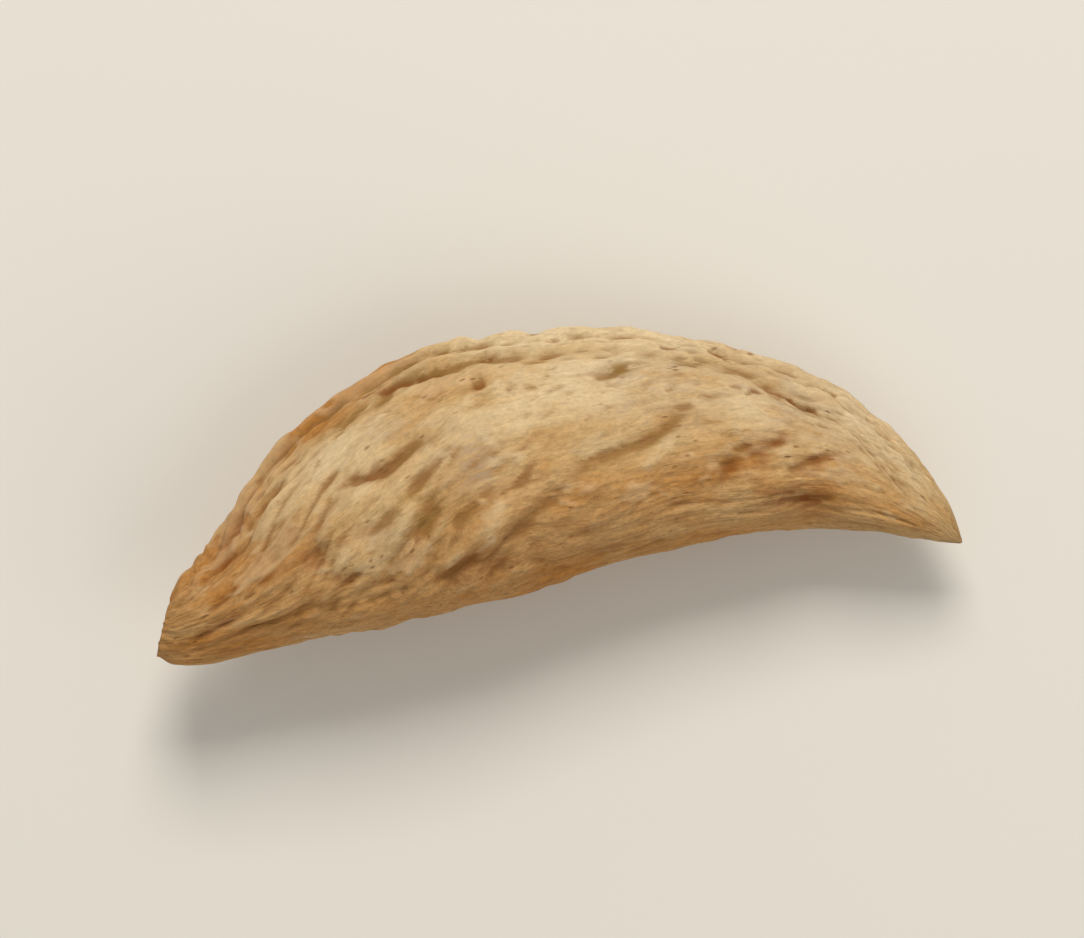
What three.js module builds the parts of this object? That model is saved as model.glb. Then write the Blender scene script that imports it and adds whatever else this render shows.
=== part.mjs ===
// An almond in its dry, closed shell, lying on one cheek as it comes to rest on a table.
// Millimetres, +Z up. +X runs along the chord from the stem end to the tip, +Y points to the keel,
// the ridged seam on the shell's outer curve. The shell grew as one piece, so it is one closed solid.
import * as THREE from "three";

// Driving dimensions, in millimetres.
const LENGTH = 40; // stem end to tip, straight along the chord
const THICKNESS_SHARES = [0.95, 0.82, 0.78, 0.74]; // thickness over height, from the stem end to the tip
const KEEL_SHARPNESS = 0.62; // 0 gives a round seam edge, 1 a knife edge
const KEEL_EDGE = 0.08; // keeps a small radius on the edge
const REST_CUT = 0.28; // how deep the cheek is worn flat where the shell lies
const REST_TURN = { tipDown: 3.5, keelDown: 4.5 }; // degrees, so the flat lies under the shell's weight
const REST_PATCH = { at: [19, 5.8], radii: [6.5, 3.8], worn: 0.85 }; // where the lower cheek is smoother

// The outline from above, drawn for a chord of 40 mm: matched points on the keel edge and the back edge.
const DRAWN_LENGTH = 40;
const STATIONS = [
  { keel: [1.5, 3.5], back: [0.1, -0.05] },
  { keel: [2.5, 4.5], back: [2.4, -0.5] },
  { keel: [4.0, 5.95], back: [6.8, -0.15] },
  { keel: [8.3, 10.1], back: [12.0, 0.15] },
  { keel: [15.0, 13.2], back: [16.9, 0.5] },
  { keel: [22.0, 13.3], back: [22.2, 1.35] },
  { keel: [28.8, 11.8], back: [27.3, 1.85] },
  { keel: [34.3, 9.1], back: [31.8, 1.9] },
  { keel: [37.8, 5.6], back: [35.1, 1.3] },
  { keel: [39.5, 2.4], back: [38.0, 0.45] },
  { keel: [40.0, 0.12], back: [39.95, 0.0] },
];
const FULL_HALF = { height: 6.4, thickness: 5 }; // half sizes of the fullest section

// The keel: two lips beside a shallow seam, then a groove, a low second ridge and a wider groove on
// each cheek. Each has its distance from the edge, its width and its height in millimetres.
const SEAM = { at: 0, width: 0.24, height: -0.18 };
const LIP = { at: 0.5, width: 0.34, height: 0.3 };
const FIRST_GROOVE = { at: 1.0, width: 0.28, height: -0.26 };
const SECOND_RIDGE = { at: 1.6, width: 0.36, height: 0.14 };
const SECOND_GROOVE = { at: 2.3, width: 0.4, height: -0.36 };
const KEEL_BANDS = [SEAM, LIP, FIRST_GROOVE, SECOND_RIDGE, SECOND_GROOVE];
const BACK_SEAM = { at: 0, width: 0.5, height: -0.14 };

// The keel's rim grows up from the stem end, drops to a share of its height, and dies out at the tip.
const RIM_GROWS = [3.5, 11];
const RIM_DROPS = [17.7, 18.9];
const INNER_DELAY = 3.5; // how much later the inner ridge and groove grow up
const RIM_SPREAD = [2, 5]; // how much sooner and later they drop
const RIM_LEFT = 0.3;
const RIM_FADE = 5;
const KEEL_WANDER = { along: 5, shift: 0.45, seed: 41 };
const KEEL_BREAKS = { along: 2.6, share: 0.9, before: 0.55, seed: 47 };

// Nicks in the rim: the distance along the spine, the width and the height.
const RIM_NICKS = [
  { at: 18.6, width: 0.45, height: -0.3 },
  { at: 21.0, width: 0.5, height: -0.28 },
];
const NICK_REACH = 0.8;

// Dents of the upper cheek: centre, length and width, turn from the chord in degrees, and depth.
// A depth below 0 is a ridge.
const UPPER_MARKS = [
  { at: [12.9, 7.9], size: [4.6, 1.0], turn: 22, depth: 0.24 },
  { at: [17.65, 11.0], size: [1.3, 1.1], turn: 0, depth: 0.14 },
  { at: [24.4, 10.65], size: [2.6, 1.0], turn: 0, depth: 0.14 },
  { at: [29.9, 10.7], size: [2.6, 1.0], turn: -20, depth: 0.16 },
  { at: [31.3, 8.8], size: [2.8, 1.1], turn: -15, depth: 0.22 },
  { at: [33.1, 7.6], size: [2.8, 1.1], turn: -27, depth: 0.24 },
  { at: [25.1, 7.25], size: [5.8, 1.2], turn: 20, depth: 0.34 },
  { at: [25.7, 6.2], size: [5.0, 1.3], turn: 20, depth: -0.14 },
  { at: [30.4, 5.8], size: [3.0, 1.4], turn: 24, depth: 0.36 },
  { at: [28.8, 4.6], size: [1.6, 1.2], turn: 30, depth: 0.24 },
  { at: [31.2, 4.5], size: [4.2, 1.0], turn: 6, depth: -0.2 },
  { at: [33.3, 5.0], size: [3.0, 1.0], turn: 14, depth: 0.24 },
  { at: [32.5, 3.0], size: [2.8, 1.2], turn: 4, depth: 0.32 },
  { at: [14.0, 6.3], size: [2.4, 1.1], turn: 44, depth: 0.24 },
  { at: [14.2, 4.7], size: [2.8, 1.4], turn: 48, depth: 0.38 },
  { at: [13.0, 5.2], size: [2.6, 1.0], turn: 48, depth: -0.14 },
  { at: [18.8, 5.8], size: [2.6, 1.1], turn: 46, depth: 0.22 },
  { at: [19.9, 4.4], size: [4.6, 1.1], turn: 29, depth: 0.32 },
  { at: [17.1, 4.1], size: [2.4, 1.0], turn: 48, depth: -0.24 },
  { at: [16.1, 4.6], size: [2.6, 1.0], turn: 46, depth: 0.2 },
  { at: [15.9, 2.1], size: [2.6, 1.2], turn: 18, depth: 0.14 },
  { at: [8.4, 3.4], size: [2.6, 1.3], turn: 52, depth: 0.3 },
  { at: [10.0, 3.7], size: [2.2, 1.2], turn: 48, depth: -0.18 },
  { at: [9.6, 2.3], size: [1.8, 1.1], turn: 20, depth: 0.18 },
  { at: [11.6, 4.5], size: [2.4, 1.1], turn: 46, depth: 0.2 },
  { at: [4.1, 4.4], size: [3.0, 0.9], turn: 34, depth: 0.22 },
  { at: [4.4, 5.7], size: [2.8, 0.9], turn: 42, depth: 0.14 },
  { at: [3.2, 0.95], size: [4.8, 0.9], turn: 20, depth: 0.28 },
];
const MARK_WANDER = { reach: 2.4, shift: 0.5, seed: 53 }; // bends the marks out of straight
const LOWER_MARKS = [
  { at: [9.5, 6.4], size: [4.4, 0.9], turn: 30, depth: 0.4 },
  { at: [28.6, 8.2], size: [5.0, 1.0], turn: -14, depth: 0.36 },
  { at: [13.6, 10.2], size: [3.2, 0.8], turn: 16, depth: 0.34 },
  { at: [33.0, 4.6], size: [4.0, 1.2], turn: -22, depth: 0.3 },
  { at: [10.6, 2.4], size: [5.0, 1.3], turn: 12, depth: 0.3 },
  { at: [4.2, 2.2], size: [5.6, 0.8], turn: 30, depth: 0.3 },
];

// The grown surface: slow swellings, then ribs and furrows that run from end to end and lean to the keel.
const SWELLING = { along: 7, across: 4.5, height: 0.6, seed: 3 };
const RIBS = { along: 6, across: 1.9, height: 0.4, seed: 11 };
const FURROWS = { along: 9, across: 2.6, height: 0.36, seed: 19 };
const FURROW_GAPS = { along: 4, across: 3, seed: 29 };
const FIBRE_LEAN = 0.17; // millimetres across per millimetre along
const FIBRE_WANDER = { along: 7, across: 4, shift: 0.7, seed: 23 };
const UPPER_CALM = 0.5; // how strongly all this grows on the upper cheek, next to the lower one

// The stem scar, a hollow in the blunt end.
const SCAR_RINGS = 6;
const SCAR_DEPTH = 0.7;
const SCAR_GRAIN = { spread: 1.6, height: 0.5, seed: 31 };
const RIM = { lost: 0.16, width: 0.35 }; // share of the end's size lost to its worn rim

// Facets along and around the shell, and how much closer they stand at the two ends and at the keel.
const ALONG = 80;
const AROUND = 68;
const END_CROWDING = 0.35;
const KEEL_CROWDING = 0.4;

const { clamp, lerp, degToRad } = THREE.MathUtils;
const smooth = (x) => x * x * x * (x * (6 * x - 15) + 10);
const ramp = (low, high, x) => smooth(clamp((x - low) / (high - low), 0, 1));
const bump = (x, width) => Math.exp(-((x / width) ** 2));
const fadeIn = (reach, s) => ramp(0, reach, s);
const fadeOut = (reach, s) => ramp(0, reach, spineLength - s);

// A fixed random number from -1 to 1 for a corner of an endless cubic lattice.
function cornerValue(i, j, k, seed) {
  const h = Math.sin(i * 127.1 + j * 311.7 + k * 74.7 + seed * 53.3) * 43758.5453;
  return 2 * (h - Math.floor(h)) - 1;
}

// Smooth noise from about -1 to 1: each lattice corner tilts the space near it by a random slope.
function noise(x, y, z, seed) {
  const [i, j, k] = [Math.floor(x), Math.floor(y), Math.floor(z)];
  const [dx, dy, dz] = [x - i, y - j, z - k];
  const [u, v, w] = [smooth(dx), smooth(dy), smooth(dz)];
  const slope = (a, b, c) =>
    cornerValue(i + a, j + b, k + c, seed) * (dx - a) +
    cornerValue(i + a, j + b, k + c, seed + 1) * (dy - b) +
    cornerValue(i + a, j + b, k + c, seed + 2) * (dz - c);
  const row = (b, c) => lerp(slope(0, b, c), slope(1, b, c), u);
  return 1.4 * lerp(lerp(row(0, 0), row(1, 0), v), lerp(row(0, 1), row(1, 1), v), w);
}

// The outline as two curves, scaled to the shell's length. Each takes 0 at the stem end to 1 at the tip.
const drawn = (points) =>
  new THREE.SplineCurve(
    points.map(([x, y]) => new THREE.Vector2(x, y).multiplyScalar(LENGTH / DRAWN_LENGTH)),
  );
const keelEdge = drawn(STATIONS.map((station) => station.keel));
const backEdge = drawn(STATIONS.map((station) => station.back));
const shares = new THREE.SplineCurve(
  THICKNESS_SHARES.map((share, i) => new THREE.Vector2(i / (THICKNESS_SHARES.length - 1), share)),
);

// The line through the middle of the crescent, from the stem end to the tip.
class Spine extends THREE.Curve {
  getPoint(t) {
    return keelEdge.getPoint(t).add(backEdge.getPoint(t)).multiplyScalar(0.5);
  }
}
const spine = new Spine();
const spineLength = spine.getLength();

// One cross-section, a distance along the spine from the stem end: its middle, the unit vector from
// the back to the keel, and its half sizes.
function section(s) {
  const t = spine.getUtoTmapping(clamp(s / spineLength, 0, 1));
  const keel = keelEdge.getPoint(t);
  const back = backEdge.getPoint(t);
  const up = keel.clone().sub(back);
  const height = (up.length() / 2) * (1 - RIM.lost * bump(s, RIM.width));
  return {
    middle: keel.add(back).multiplyScalar(0.5),
    up: up.normalize(),
    height,
    thickness: height * shares.getPoint(s / spineLength).y,
    sharpness: KEEL_SHARPNESS * fadeIn(3, s) * fadeOut(3, s),
  };
}

// Half thickness of the teardrop section at an angle from the keel: 1 at its fullest.
function teardrop(angle, sharpness) {
  const fullest = 1 - 0.27 * sharpness;
  return (Math.sin(angle) * Math.hypot(Math.sin(angle / 2), KEEL_EDGE) ** sharpness) / fullest;
}

// A point of the smooth shell: the distance from the stem end, and the angle round from the keel.
function smoothPoint(s, angle) {
  const { middle, up, height, thickness, sharpness } = section(s);
  const across = height * Math.cos(angle);
  const aside = thickness * teardrop(angle, sharpness);
  return new THREE.Vector3(middle.x + up.x * across, middle.y + up.y * across, aside);
}

// The outward normal of the smooth shell, from short steps along and around it.
function smoothNormal(s, angle) {
  const step = 0.02;
  const ahead = smoothPoint(Math.min(s + step, spineLength), angle);
  const behind = smoothPoint(Math.max(s - step, 0), angle);
  const around = smoothPoint(s, angle + step).sub(smoothPoint(s, angle - step));
  return around.cross(ahead.sub(behind)).normalize();
}

// Sum of bands that run along the seam, at a distance from its edge.
const bands = (list, gap) =>
  list.reduce((sum, { at, width, height }) => sum + height * bump(gap - at, width), 0);

// Depth of one cheek's dents at a point seen from above.
function marksDepth(marks, x, y) {
  return marks.reduce((sum, { at, size, turn, depth }) => {
    const angle = degToRad(turn);
    const [dx, dy] = [x - at[0], y - at[1]];
    const along = (dx * Math.cos(angle) + dy * Math.sin(angle)) / (size[0] / 2);
    const across = (dy * Math.cos(angle) - dx * Math.sin(angle)) / (size[1] / 2);
    return sum + depth * Math.exp(-(along ** 2) - across ** 2);
  }, 0);
}

// Height of the ribs and furrows, in the coordinates of a straightened shell.
function fibreRelief(s, y, z) {
  const wander = FIBRE_WANDER;
  const shift =
    wander.shift * noise(s / wander.along, y / wander.across, z / wander.across, wander.seed);
  const leaned = y - FIBRE_LEAN * s + shift;
  const layer = ({ along, across, seed }) => noise(s / along, leaned / across, z / across, seed);
  const crease = (1 - Math.min(Math.abs(layer(FURROWS)) * 2.4, 1)) ** 2;
  const open = ramp(-0.25, 0.25, layer(FURROW_GAPS));
  return RIBS.height * layer(RIBS) - FURROWS.height * crease * open;
}

// Height of the grown surface over the smooth shell, in millimetres.
function relief(s, angle) {
  const { height, thickness, sharpness } = section(s);
  const across = height * Math.cos(angle);
  const aside = thickness * teardrop(angle, sharpness);
  const keelGap = Math.hypot(height - across, aside);
  const backGap = Math.hypot(height + across, aside);

  // In the straightened shell the ribs draw together at the ends but keep some of their spread.
  const y = (across / height) * lerp(height, FULL_HALF.height, 0.5);
  const z = (aside / thickness) * lerp(thickness, FULL_HALF.thickness, 0.5);
  const { along, across: wide, height: swell, seed } = SWELLING;
  const inland = 0.3 + 0.7 * ramp(0.5, 3, Math.min(keelGap, backGap));
  const swelling = swell * inland * noise(s / along, y / wide, z / wide, seed);

  const track = ({ along: step, seed: start }) => noise(s / step, aside > 0 ? 0.5 : 7.5, 0.5, start);
  const shift = KEEL_WANDER.shift * track(KEEL_WANDER);
  const inner = ramp(0.4, 1.4, keelGap);
  const past = ramp(RIM_DROPS[0] - RIM_SPREAD[0] * inner, RIM_DROPS[1] + RIM_SPREAD[1] * inner, s);
  const broken = lerp(KEEL_BREAKS.before, 1, Math.max(past, inner));
  const breaks = KEEL_BREAKS.share * track(KEEL_BREAKS) * broken;
  const grown = ramp(...RIM_GROWS, s - INNER_DELAY * inner);
  const rim = grown * lerp(1, RIM_LEFT, past) * fadeOut(RIM_FADE, s);
  const nicks = bands(RIM_NICKS, s) * bump(keelGap, NICK_REACH);
  const calm = lerp(1, UPPER_CALM, ramp(-1, 1, aside));
  const body = calm * fadeIn(3, s + 0.6) * fadeOut(5, s);
  const flank = 0.35 + 0.65 * ramp(1.6, 2.9, keelGap) * ramp(0.3, 1.6, backGap);

  const plan = smoothPoint(s, angle).multiplyScalar(DRAWN_LENGTH / LENGTH);
  const { reach, shift: bend, seed: bendSeed } = MARK_WANDER;
  const bent = (row) => bend * noise(plan.x / reach, plan.y / reach, row, bendSeed);
  const [planX, planY] = [plan.x + bent(0.5), plan.y + bent(4.5)];
  const marks = marksDepth(aside > 0 ? UPPER_MARKS : LOWER_MARKS, planX, planY);
  const dents = marks * ramp(0.3, 1.2, Math.abs(aside));
  const patchX = (planX - REST_PATCH.at[0]) / REST_PATCH.radii[0];
  const patchY = (planY - REST_PATCH.at[1]) / REST_PATCH.radii[1];
  const worn = aside < 0 ? REST_PATCH.worn * Math.exp(-(patchX ** 4) - patchY ** 4) : 0;
  return (
    body * (1 - worn) * (swelling + flank * fibreRelief(s, y, z) + bands([BACK_SEAM], backGap)) +
    rim * (1 + breaks) * bands(KEEL_BANDS, keelGap + shift * inner) +
    nicks -
    dents
  );
}

// A point of the finished surface.
function shellPoint(s, angle) {
  return smoothPoint(s, angle).addScaledVector(smoothNormal(s, angle), relief(s, angle));
}

// A point of the hollowed stem scar: share 1 is the rim of the blunt end, 0 its middle.
function scarPoint(share, angle) {
  const { middle, up } = section(0);
  const outward = new THREE.Vector3(-up.y, up.x, 0);
  const centre = new THREE.Vector3(middle.x, middle.y, 0);
  const spot = SCAR_GRAIN.spread * share;
  const ragged = noise(spot * Math.cos(angle), spot * Math.sin(angle), 0.5, SCAR_GRAIN.seed);
  const depth = SCAR_DEPTH * (1 - share ** 2) ** 2 + SCAR_GRAIN.height * ragged * (1 - share ** 4);
  return centre.lerp(shellPoint(0, angle), share).addScaledVector(outward, -depth);
}

// A share of the way round or along, with its steps crowded where it starts and ends.
const crowded = (share, crowding) =>
  share - (crowding * Math.sin(2 * Math.PI * share)) / (2 * Math.PI);

// The closed surface: the middle of the scar, its rings, the rings of the shell, and the tip.
function shellGeometry() {
  const rings = [];
  for (let k = 1; k < SCAR_RINGS; k++) rings.push((angle) => scarPoint(k / SCAR_RINGS, angle));
  for (let i = 0; i < ALONG; i++) {
    const s = spineLength * crowded(i / ALONG, END_CROWDING);
    rings.push((angle) => shellPoint(s, angle));
  }
  const points = [scarPoint(0, 0)];
  for (const ring of rings) {
    for (let j = 0; j < AROUND; j++) {
      points.push(ring(2 * Math.PI * crowded(j / AROUND, KEEL_CROWDING)));
    }
  }
  const tip = section(spineLength).middle;
  points.push(new THREE.Vector3(tip.x, tip.y, 0));

  const index = [];
  const at = (ring, j) => 1 + ring * AROUND + (j % AROUND);
  const last = rings.length - 1;
  for (let j = 0; j < AROUND; j++) {
    index.push(0, at(0, j + 1), at(0, j));
    for (let i = 0; i < last; i++) {
      index.push(at(i, j), at(i, j + 1), at(i + 1, j + 1));
      index.push(at(i, j), at(i + 1, j + 1), at(i + 1, j));
    }
    index.push(at(last, j), at(last, j + 1), points.length - 1);
  }
  const geometry = new THREE.BufferGeometry().setFromPoints(points);
  geometry.setIndex(index);
  return geometry;
}

// Sets the shell down: centred over the origin, its lowest cheek worn flat at height 0.
function setDown(geometry) {
  geometry.rotateY(degToRad(REST_TURN.tipDown));
  geometry.rotateX(degToRad(-REST_TURN.keelDown));
  geometry.computeBoundingBox();
  const { min, max } = geometry.boundingBox;
  geometry.translate(-(min.x + max.x) / 2, -(min.y + max.y) / 2, -min.z - REST_CUT);
  const position = geometry.attributes.position;
  for (let i = 0; i < position.count; i++) position.setZ(i, Math.max(position.getZ(i), 0));
  geometry.computeVertexNormals();
  return geometry;
}

const shellMaterial = new THREE.MeshStandardMaterial({
  color: 0xcba672,
  roughness: 0.88,
  metalness: 0,
});

const almond = new THREE.Mesh(setDown(shellGeometry()), shellMaterial);
almond.name = "almond_in_shell";

const group = new THREE.Group();
group.add(almond);
export default group;
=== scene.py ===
"""An almond in its dry, closed shell, lying on one cheek on a pale table.

The frame gives the almond's place and its plain faceted solid. This script replaces the solid with
a fine shell of the same form, worked out as whole arrays, and dresses it as dry, fibrous wood.
Every shape is worked out in millimetres and put into its mesh in metres.
"""

import itertools
import logging
import math
from collections.abc import Callable, Sequence
from dataclasses import dataclass, field
from enum import Enum
from functools import partial

import bpy
import numpy as np
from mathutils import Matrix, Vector


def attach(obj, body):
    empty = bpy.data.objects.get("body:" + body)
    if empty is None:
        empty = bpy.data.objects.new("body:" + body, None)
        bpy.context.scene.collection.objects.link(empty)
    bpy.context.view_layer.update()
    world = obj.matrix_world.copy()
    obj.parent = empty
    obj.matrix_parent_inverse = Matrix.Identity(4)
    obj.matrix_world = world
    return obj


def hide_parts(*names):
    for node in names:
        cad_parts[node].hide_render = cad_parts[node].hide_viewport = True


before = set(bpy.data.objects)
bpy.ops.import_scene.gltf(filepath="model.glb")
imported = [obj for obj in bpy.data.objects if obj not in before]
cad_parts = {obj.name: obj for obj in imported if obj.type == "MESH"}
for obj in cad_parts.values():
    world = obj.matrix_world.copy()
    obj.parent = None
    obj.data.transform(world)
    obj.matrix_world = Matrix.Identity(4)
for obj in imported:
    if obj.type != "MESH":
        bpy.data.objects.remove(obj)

Array = np.ndarray
Socket = bpy.types.NodeSocket
Adder = Callable[..., Socket]
Pair = tuple[float, float]
MM = 0.001
SHELL_NODE = "almond_in_shell"
BODY = "root"

log = logging.getLogger("almond")


class Cheek(Enum):
    """The two broad sides of the shell, by the sign of their height over the middle plane."""

    UPPER = 1
    LOWER = -1


class StainAndPaintedLight(Enum):
    """The ways in which a patch of the shell leans in colour: a stain, painted shade or painted
    highlight.
    """

    BROWN = "brown"
    RED = "red"
    PALE = "pale"
    GREY = "grey"
    OLIVE = "olive"


def smooth(x: Array) -> Array:
    """Eases 0 to 1 with no kink at either end: x cubed times (6 x squared - 15 x + 10)."""
    return x * x * x * (x * (6 * x - 15) + 10)


def ramp(low: float, high: float, x: Array) -> Array:
    """Rises smoothly from 0 at low to 1 at high, which may be the smaller of the two."""
    return smooth(np.clip((x - low) / (high - low), 0.0, 1.0))


def bump(x: Array, width: float) -> Array:
    """A bell that is 1 at 0 and falls as exp(-(x / width) squared)."""
    return np.exp(-((x / width) ** 2))


def mix(a: Array, b: Array, share: Array) -> Array:
    """Goes straight from a to b as share goes from 0 to 1."""
    return a + (b - a) * share


def corner_value(i: Array, j: Array, k: Array, seed: float) -> Array:
    """A fixed number from -1 to 1 for a lattice corner: the fraction of a sine's large multiple."""
    h = np.sin(i * 127.1 + j * 311.7 + k * 74.7 + seed * 53.3) * 43758.5453
    return 2.0 * (h - np.floor(h)) - 1.0


def noise(x: Array, y: Array, z: Array, seed: float) -> Array:
    """Smooth noise from about -1 to 1: each lattice corner tilts the space near it at random.

    Args:
        x: First coordinate, about 1 unit from one swell to the next.
        y: Second coordinate.
        z: Third coordinate.
        seed: Which noise is read.

    Returns:
        The noise at every point.
    """
    x, y, z = np.broadcast_arrays(x, y, z)
    i, j, k = np.floor(x), np.floor(y), np.floor(z)
    dx, dy, dz = x - i, y - j, z - k
    ease = [(1 - smooth(d), smooth(d)) for d in (dx, dy, dz)]
    total = np.zeros_like(dx)
    for a, b, c in itertools.product((0, 1), repeat=3):
        slope = 0.0
        for n, step in enumerate((dx - a, dy - b, dz - c)):
            slope = slope + corner_value(i + a, j + b, k + c, seed + n) * step
        total += ease[0][a] * ease[1][b] * ease[2][c] * slope
    return 1.4 * total


def ringed(reach: float, angle: Array, row: Array, seed: float) -> Array:
    """Noise read on a circle, so that it meets itself after a turn, at a row of its own."""
    return noise(reach * np.cos(angle), reach * np.sin(angle), row, seed)


def spline(points: Sequence[Pair], t: Array) -> Array:
    """A uniform Catmull-Rom curve through the points, whose end points count twice.

    Args:
        points: The points of the curve, evenly spaced in t.
        t: Where to read it, from 0 to 1.

    Returns:
        The points read, with their two coordinates last.
    """
    p = np.asarray(points, dtype=float)
    last = len(p) - 1
    place = np.clip(t, 0.0, 1.0) * last
    i = np.minimum(np.floor(place).astype(int), last)
    w = (place - i)[..., None]
    p0, p1, p2, p3 = (p[np.clip(i + step, 0, last)] for step in (-1, 0, 1, 2))
    v0, v1 = (p2 - p0) * 0.5, (p3 - p1) * 0.5
    cubic = (2 * (p1 - p2) + v0 + v1) * w**3
    return cubic + (3 * (p2 - p1) - 2 * v0 - v1) * w**2 + v0 * w + p1


def blurred(values: Array, steps: int) -> Array:
    """Averages each grid value with its neighbours, weighted 1, 2, 1, so many times.

    Args:
        values: The grid, with rings first.
        steps: How many times.

    Returns:
        The softened grid.
    """
    for _ in range(steps):
        values = (np.roll(values, 1, axis=1) + 2 * values + np.roll(values, -1, axis=1)) / 4
        padded = np.concatenate([values[:1], values, values[-1:]])
        values = (padded[:-2] + 2 * values + padded[2:]) / 4
    return values


@dataclass(frozen=True)
class Station:
    """Matched points of the outline from above, in mm: on the keel's edge and on the back's."""

    keel: Pair
    back: Pair


@dataclass(frozen=True)
class SeamBand:
    """A lip or groove along the seam: its distance from the edge, width and height in mm."""

    at: float
    width: float
    height: float


@dataclass(frozen=True)
class Mark:
    """A dent or colour patch of one cheek from above: centre, length and width in mm, turn in
    degrees.

    The depth is in mm for a dent, where a value below 0 is a ridge, and a strength for a patch: a
    stain, painted shade or painted highlight.
    """

    x: float
    y: float
    length: float
    width: float
    turn: float
    depth: float

    def depth_at(self, plan: Array) -> Array:
        """A bell: depth x exp(-(along / half length) squared - (across / half width) squared).

        Args:
            plan: The points seen from above, with x and y last.

        Returns:
            The depth at every point.
        """
        turn = math.radians(self.turn)
        dx, dy = plan[..., 0] - self.x, plan[..., 1] - self.y
        along = (dx * math.cos(turn) + dy * math.sin(turn)) / (self.length / 2)
        across = (dy * math.cos(turn) - dx * math.sin(turn)) / (self.width / 2)
        return self.depth * np.exp(-(along**2) - across**2)


@dataclass(frozen=True)
class Furrow:
    """A narrow crack or crease of the upper cheek: its path from above, width and depth in mm.

    A depth below 0 is a thin raised strand.
    """

    path: tuple[Pair, ...]
    width: float
    depth: float

    def depth_at(self, plan: Array) -> Array:
        """A trench: depth x exp(-(distance from the path / half its width) squared).

        It shallows out over both ends as 1 - (2 x share of the way - 1) to the fourth.

        Args:
            plan: The points seen from above, with x and y last.

        Returns:
            The depth at every point.
        """
        path = np.array(self.path)
        lengths = np.linalg.norm(np.diff(path, axis=0), axis=1)
        ends = np.concatenate([[0.0], np.cumsum(lengths)]) / lengths.sum()
        nearest = np.full(plan.shape[:-1], np.inf)
        share = np.zeros(plan.shape[:-1])
        for n, length in enumerate(lengths):
            way = (path[n + 1] - path[n]) / length
            along = np.clip((plan - path[n]) @ way, 0.0, length)
            gap = np.linalg.norm(plan - path[n] - along[..., None] * way, axis=-1)
            done = ends[n] + along / length * (ends[n + 1] - ends[n])
            share = np.where(gap < nearest, done, share)
            nearest = np.minimum(nearest, gap)
        return self.depth * bump(nearest, self.width / 2) * (1 - (2 * share - 1) ** 4)


def marks(*rows: tuple[float, ...]) -> tuple[Mark, ...]:
    """Makes marks of rows of x, y, length, width, turn and depth."""
    return tuple(Mark(*row) for row in rows)


def summed_depth(forms: Sequence[Mark | Furrow], plan: Array) -> Array:
    """Adds up the depths of marks or furrows at points seen from above."""
    return sum((form.depth_at(plan) for form in forms), np.zeros(plan.shape[:-1]))


@dataclass(frozen=True)
class Section:
    """Cross-sections as arrays: middle and keel direction (..., 2), half sizes and sharpness."""

    middle: Array
    up: Array
    height: Array
    thickness: Array
    sharpness: Array


@dataclass(frozen=True)
class Straightened:
    """Points laid out straight, in mm: s from the stem end, y to the keel and z sideways.

    With them go the distances from the two seams, the place from above and the height over the
    middle plane.
    """

    s: Array
    y: Array
    z: Array
    keel_gap: Array
    back_gap: Array
    plan: Array
    side: Array

    def own_row(self) -> Array:
        """A row of noise for each cheek, so that the two sides of the keel differ."""
        return np.where(self.side > 0, 0.5, 7.5)


@dataclass(frozen=True)
class Grain:
    """A layer of noise: its reach along and across the fibres in mm, height in mm, and seed."""

    along: float
    across: float
    height: float
    seed: int

    def read(self, at: Straightened, y: Array) -> Array:
        """The noise at straightened points, whose distance across the fibres is y."""
        return noise(at.s / self.along, y / self.across, at.z / self.across, self.seed)

    def raised(self, at: Straightened, y: Array) -> Array:
        """The noise in mm of height."""
        return self.height * self.read(at, y)

    def by_row(self, s: Array, row: Array) -> Array:
        """The height of a noise that changes along the shell alone, at a row of its own."""
        return self.height * noise(s / self.along, row, 0.5, self.seed)


@dataclass(frozen=True)
class PitLayer:
    """Scattered pits: the cell that may hold one, in mm, the share that does, size and depth."""

    cell: Pair
    share: float
    length: float
    width: float
    depth: float
    seed: int

    def share_at(self, at: Straightened, y: Array) -> Array:
        """How deep each point lies in a pit, from 0 outside to 1 on its floor.

        Space is cut into cells that are long along the fibres. A cell holds a pit by a fixed draw,
        at a place and of a size drawn in the same way. A point reads its cell and the 26 round it.

        Args:
            at: The straightened points.
            y: Their distance across the fibres in mm.

        Returns:
            The depth share at every point.
        """
        cell = (self.cell[0], self.cell[1], self.cell[1])
        place = [axis / size for axis, size in zip((at.s, y, at.z), cell)]
        home = [np.floor(axis) for axis in place]
        deepest = np.zeros_like(at.s)
        for step in itertools.product((-1, 0, 1), repeat=3):
            corner = [axis + move for axis, move in zip(home, step)]
            holds = corner_value(*corner, self.seed) * 0.5 + 0.5 < self.share
            size = 0.75 + 0.35 * corner_value(*corner, self.seed + 1)
            gaps = []
            for n, whole in enumerate(corner):
                middle = whole + 0.5 + 0.32 * corner_value(*corner, self.seed + 2 + n)
                reach = (self.length if n == 0 else self.width) / 2 * size
                gaps.append((place[n] - middle) * cell[n] / reach)
            distance = np.sqrt(gaps[0] ** 2 + gaps[1] ** 2 + gaps[2] ** 2)
            deepest = np.maximum(deepest, holds * ramp(1.0, 0.35, distance) * size)
        return deepest


def linear_colour(hex_colour: str) -> tuple[float, float, float, float]:
    """Turns an sRGB hex colour into the linear red, green, blue and alpha that a shader takes."""
    parts = [int(hex_colour[n : n + 2], 16) / 255 for n in (1, 3, 5)]
    linear = [p / 12.92 if p <= 0.04045 else ((p + 0.055) / 1.055) ** 2.4 for p in parts]
    return (*linear, 1.0)


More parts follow.
